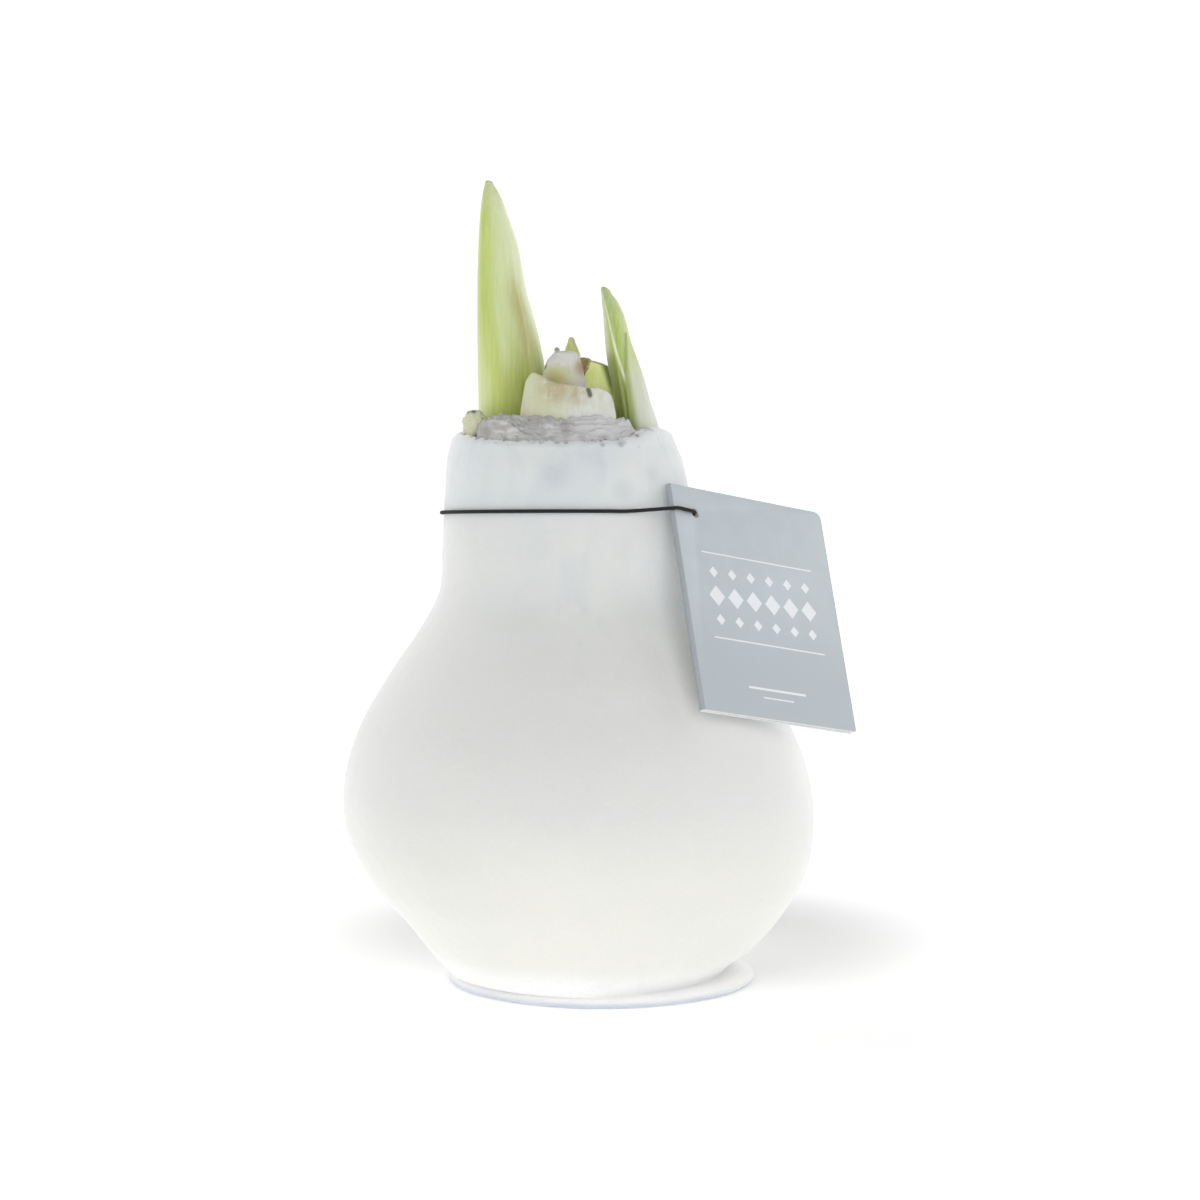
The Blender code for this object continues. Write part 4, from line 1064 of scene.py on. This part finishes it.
def row_of_lozenges(level, size):
    """Row of small white lozenges at one height."""
    cell = ink.sum("FLOORED_MODULO", ink.sum("SUBTRACT", card_across, PRINT_LEFT), LOZENGE_PITCH)
    sideways = ink.sum("ABSOLUTE", ink.sum("SUBTRACT", cell, LOZENGE_PITCH / 2))
    upright = ink.sum("ABSOLUTE", ink.sum("SUBTRACT", card_down, level))
    lozenge = ink.step(ink.sum("ADD", sideways, upright), size + 0.06, size - 0.06)
    return ink.times(lozenge, bar(PRINT_LEFT, PRINT_RIGHT, level - size, level + size))


marks = [
    bar(PRINT_LEFT, PRINT_RIGHT, 14.2, 14.5), bar(PRINT_LEFT, PRINT_RIGHT, 33.2, 33.5),
    bar(14, 31, 43.2, 43.7), bar(18, 27, 45.2, 45.5),
    row_of_lozenges(18.6, 1.25), row_of_lozenges(23.9, 2.3), row_of_lozenges(29.2, 1.25)]
white_print = marks[0]
for mark in marks[1:]:
    white_print = ink.sum("MAXIMUM", white_print, mark)
fleck = ink.noise(0.22, 3)
mottle = ink.noise(6.0, 3)
ink.ground(ink.step(mottle, 0.3, 0.7), paint(190, 199, 204), paint(195, 203, 208))
ink.tint(ink.step(card_down, 18, 42), paint(183, 191, 196))
# Painted shade: the ink is darker along the fold, where the card turns away from the light.
ink.tint(ink.step(card_across, 0.1, -0.2, 0.0, 0.85), paint(160, 165, 170))
ink.tint(ink.step(fleck, 0.5, 0.8, 0.0, 0.35), paint(206, 213, 217))
rubbed = ink.times(white_print, ink.step(fleck, 0.25, 0.5, 0.80, 1.0))
ink.tint(ink.times(rubbed, 0.92), paint(240, 243, 245))
ink.wear(ink.step(fleck, 0.3, 0.7, 0.5, 0.62), ink.bump(fleck, 0.02))

paper = Finish("white_paper", Roughness=0.8)
pulp = paper.noise(0.15, 3)
paper.ground(paper.step(pulp, 0.3, 0.7), paint(226, 229, 231), paint(242, 244, 245))
paper.wear(normal=paper.bump(pulp, 0.03))
tag.data.materials.append(ink.material)
tag.data.materials.append(paper.material)
while tag.data.uv_layers:
    tag.data.uv_layers.remove(tag.data.uv_layers[0])
card_uv = tag.data.uv_layers.new(name="UVMap")
for face in tag.data.polygons:
    middle, facing = face.center / MM, face.normal
    printed = facing.y < -0.9 and middle.y < 0.1
    printed = printed or (middle.x < 0.05 and facing.x < -0.05 and abs(facing.z) < 0.5)
    face.material_index = 0 if printed else 1
    for loop in face.loop_indices:
        corner = tag.data.vertices[tag.data.loops[loop].vertex_index].co / MM
        card_uv.data[loop].uv = (corner.x / TAG_WIDTH, 1 + corner.z / TAG_HEIGHT)
tag.data.transform(Matrix.Translation(TAG_PLACE * MM) @ TAG_TURN.to_4x4())
tag.data.shade_smooth()
tag.data.set_sharp_from_angle(angle=radians(35))
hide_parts("hang_tag")
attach(tag, "root")

# Table and light
# A plain white shooting table that glows from below, but not where the part stands in its own shade.
# Big soft windows stand behind the part at its left and right and behind the camera. A weak light
# comes from straight behind and from above, and a small lamp at the front right.
SHADE_MIDDLE = (0.008, 0.043, 0)
SHADE_INNER = 0.038
SHADE_OUTER = 0.086
WINDOWS = [
    ((-0.75, 0.65, 0.1), 0.50, 0.97, 1.91), ((0.75, 0.65, 0.1), 0.50, 0.97, 1.75),
    ((0, 1, 0.1), 0.10, 0.90, 0.24), ((0, -1, 0.1), 0.40, 0.95, 1.47), ((0, 0, 1), 0.50, 1.00, 0.16)]
WHITE_BACKDROP = 1.1
LAMP_PLACE = (1.0, -1.1, 1.3)
LAMP_POWER = 2.3
CAMERA_PLACE = (0.0, -0.85, 0.1745)
CAMERA_DOWN = 6.2
CAMERA_LENS = 120

bpy.ops.mesh.primitive_plane_add(size=8, location=(0, 0, 0))
table = bpy.context.object
table.name = "table"
board = Finish("table_white", Roughness=0.8)
board.shader.inputs["Emission Color"].default_value = (1, 1, 1, 1)
from_shade = board.add("ShaderNodeVectorMath", {
    0: board.place["Object"], 1: SHADE_MIDDLE}, operation="DISTANCE").outputs["Value"]
board_glow = board.step(from_shade, SHADE_INNER, SHADE_OUTER, 0.03, 0.36)
board.tree.links.new(board_glow, board.shader.inputs["Emission Strength"])
board.ground(board.noise(400.0, 2), paint(243, 243, 243), paint(246, 246, 246))
board.wear()
table.data.materials.append(board.material)

world = bpy.data.worlds.new("soft_room")
bpy.context.scene.world = world
world.use_nodes = True
room = NodeWork()
room.tree = world.node_tree
direction = room.add("ShaderNodeTexCoord").outputs["Generated"]
level = 0.0
for toward, low, high, bright in WINDOWS:
    facing = room.add("ShaderNodeVectorMath", {
        0: direction, 1: Vector(toward).normalized()}, operation="DOT_PRODUCT").outputs["Value"]
    level = room.sum("ADD", room.step(facing, low, high, 0.0, bright), level)
seen = room.add("ShaderNodeLightPath").outputs["Is Camera Ray"]
strength = room.add("ShaderNodeMix", {"Factor": seen, "A": level, "B": WHITE_BACKDROP}).outputs["Result"]
glow = room.tree.nodes["Background"]
glow.inputs["Color"].default_value = (1, 1, 1, 1)
room.tree.links.new(strength, glow.inputs["Strength"])
bpy.context.scene.view_settings.view_transform = "Standard"

lamp_data = bpy.data.lights.new("soft_window", "AREA")
lamp_data.shape = "DISK"
lamp_data.size = 0.8
lamp_data.energy = LAMP_POWER
lamp = put("soft_window", lamp_data)
lamp.location = LAMP_PLACE
lamp.rotation_euler = (Vector((0, 0, 0.05)) - lamp.location).to_track_quat("-Z", "Y").to_euler()

camera_data = bpy.data.cameras.new("camera")
camera_data.lens = CAMERA_LENS
camera = put("camera", camera_data)
camera.location = CAMERA_PLACE
camera.rotation_euler = (radians(90 - CAMERA_DOWN), 0, 0)
bpy.context.scene.camera = camera
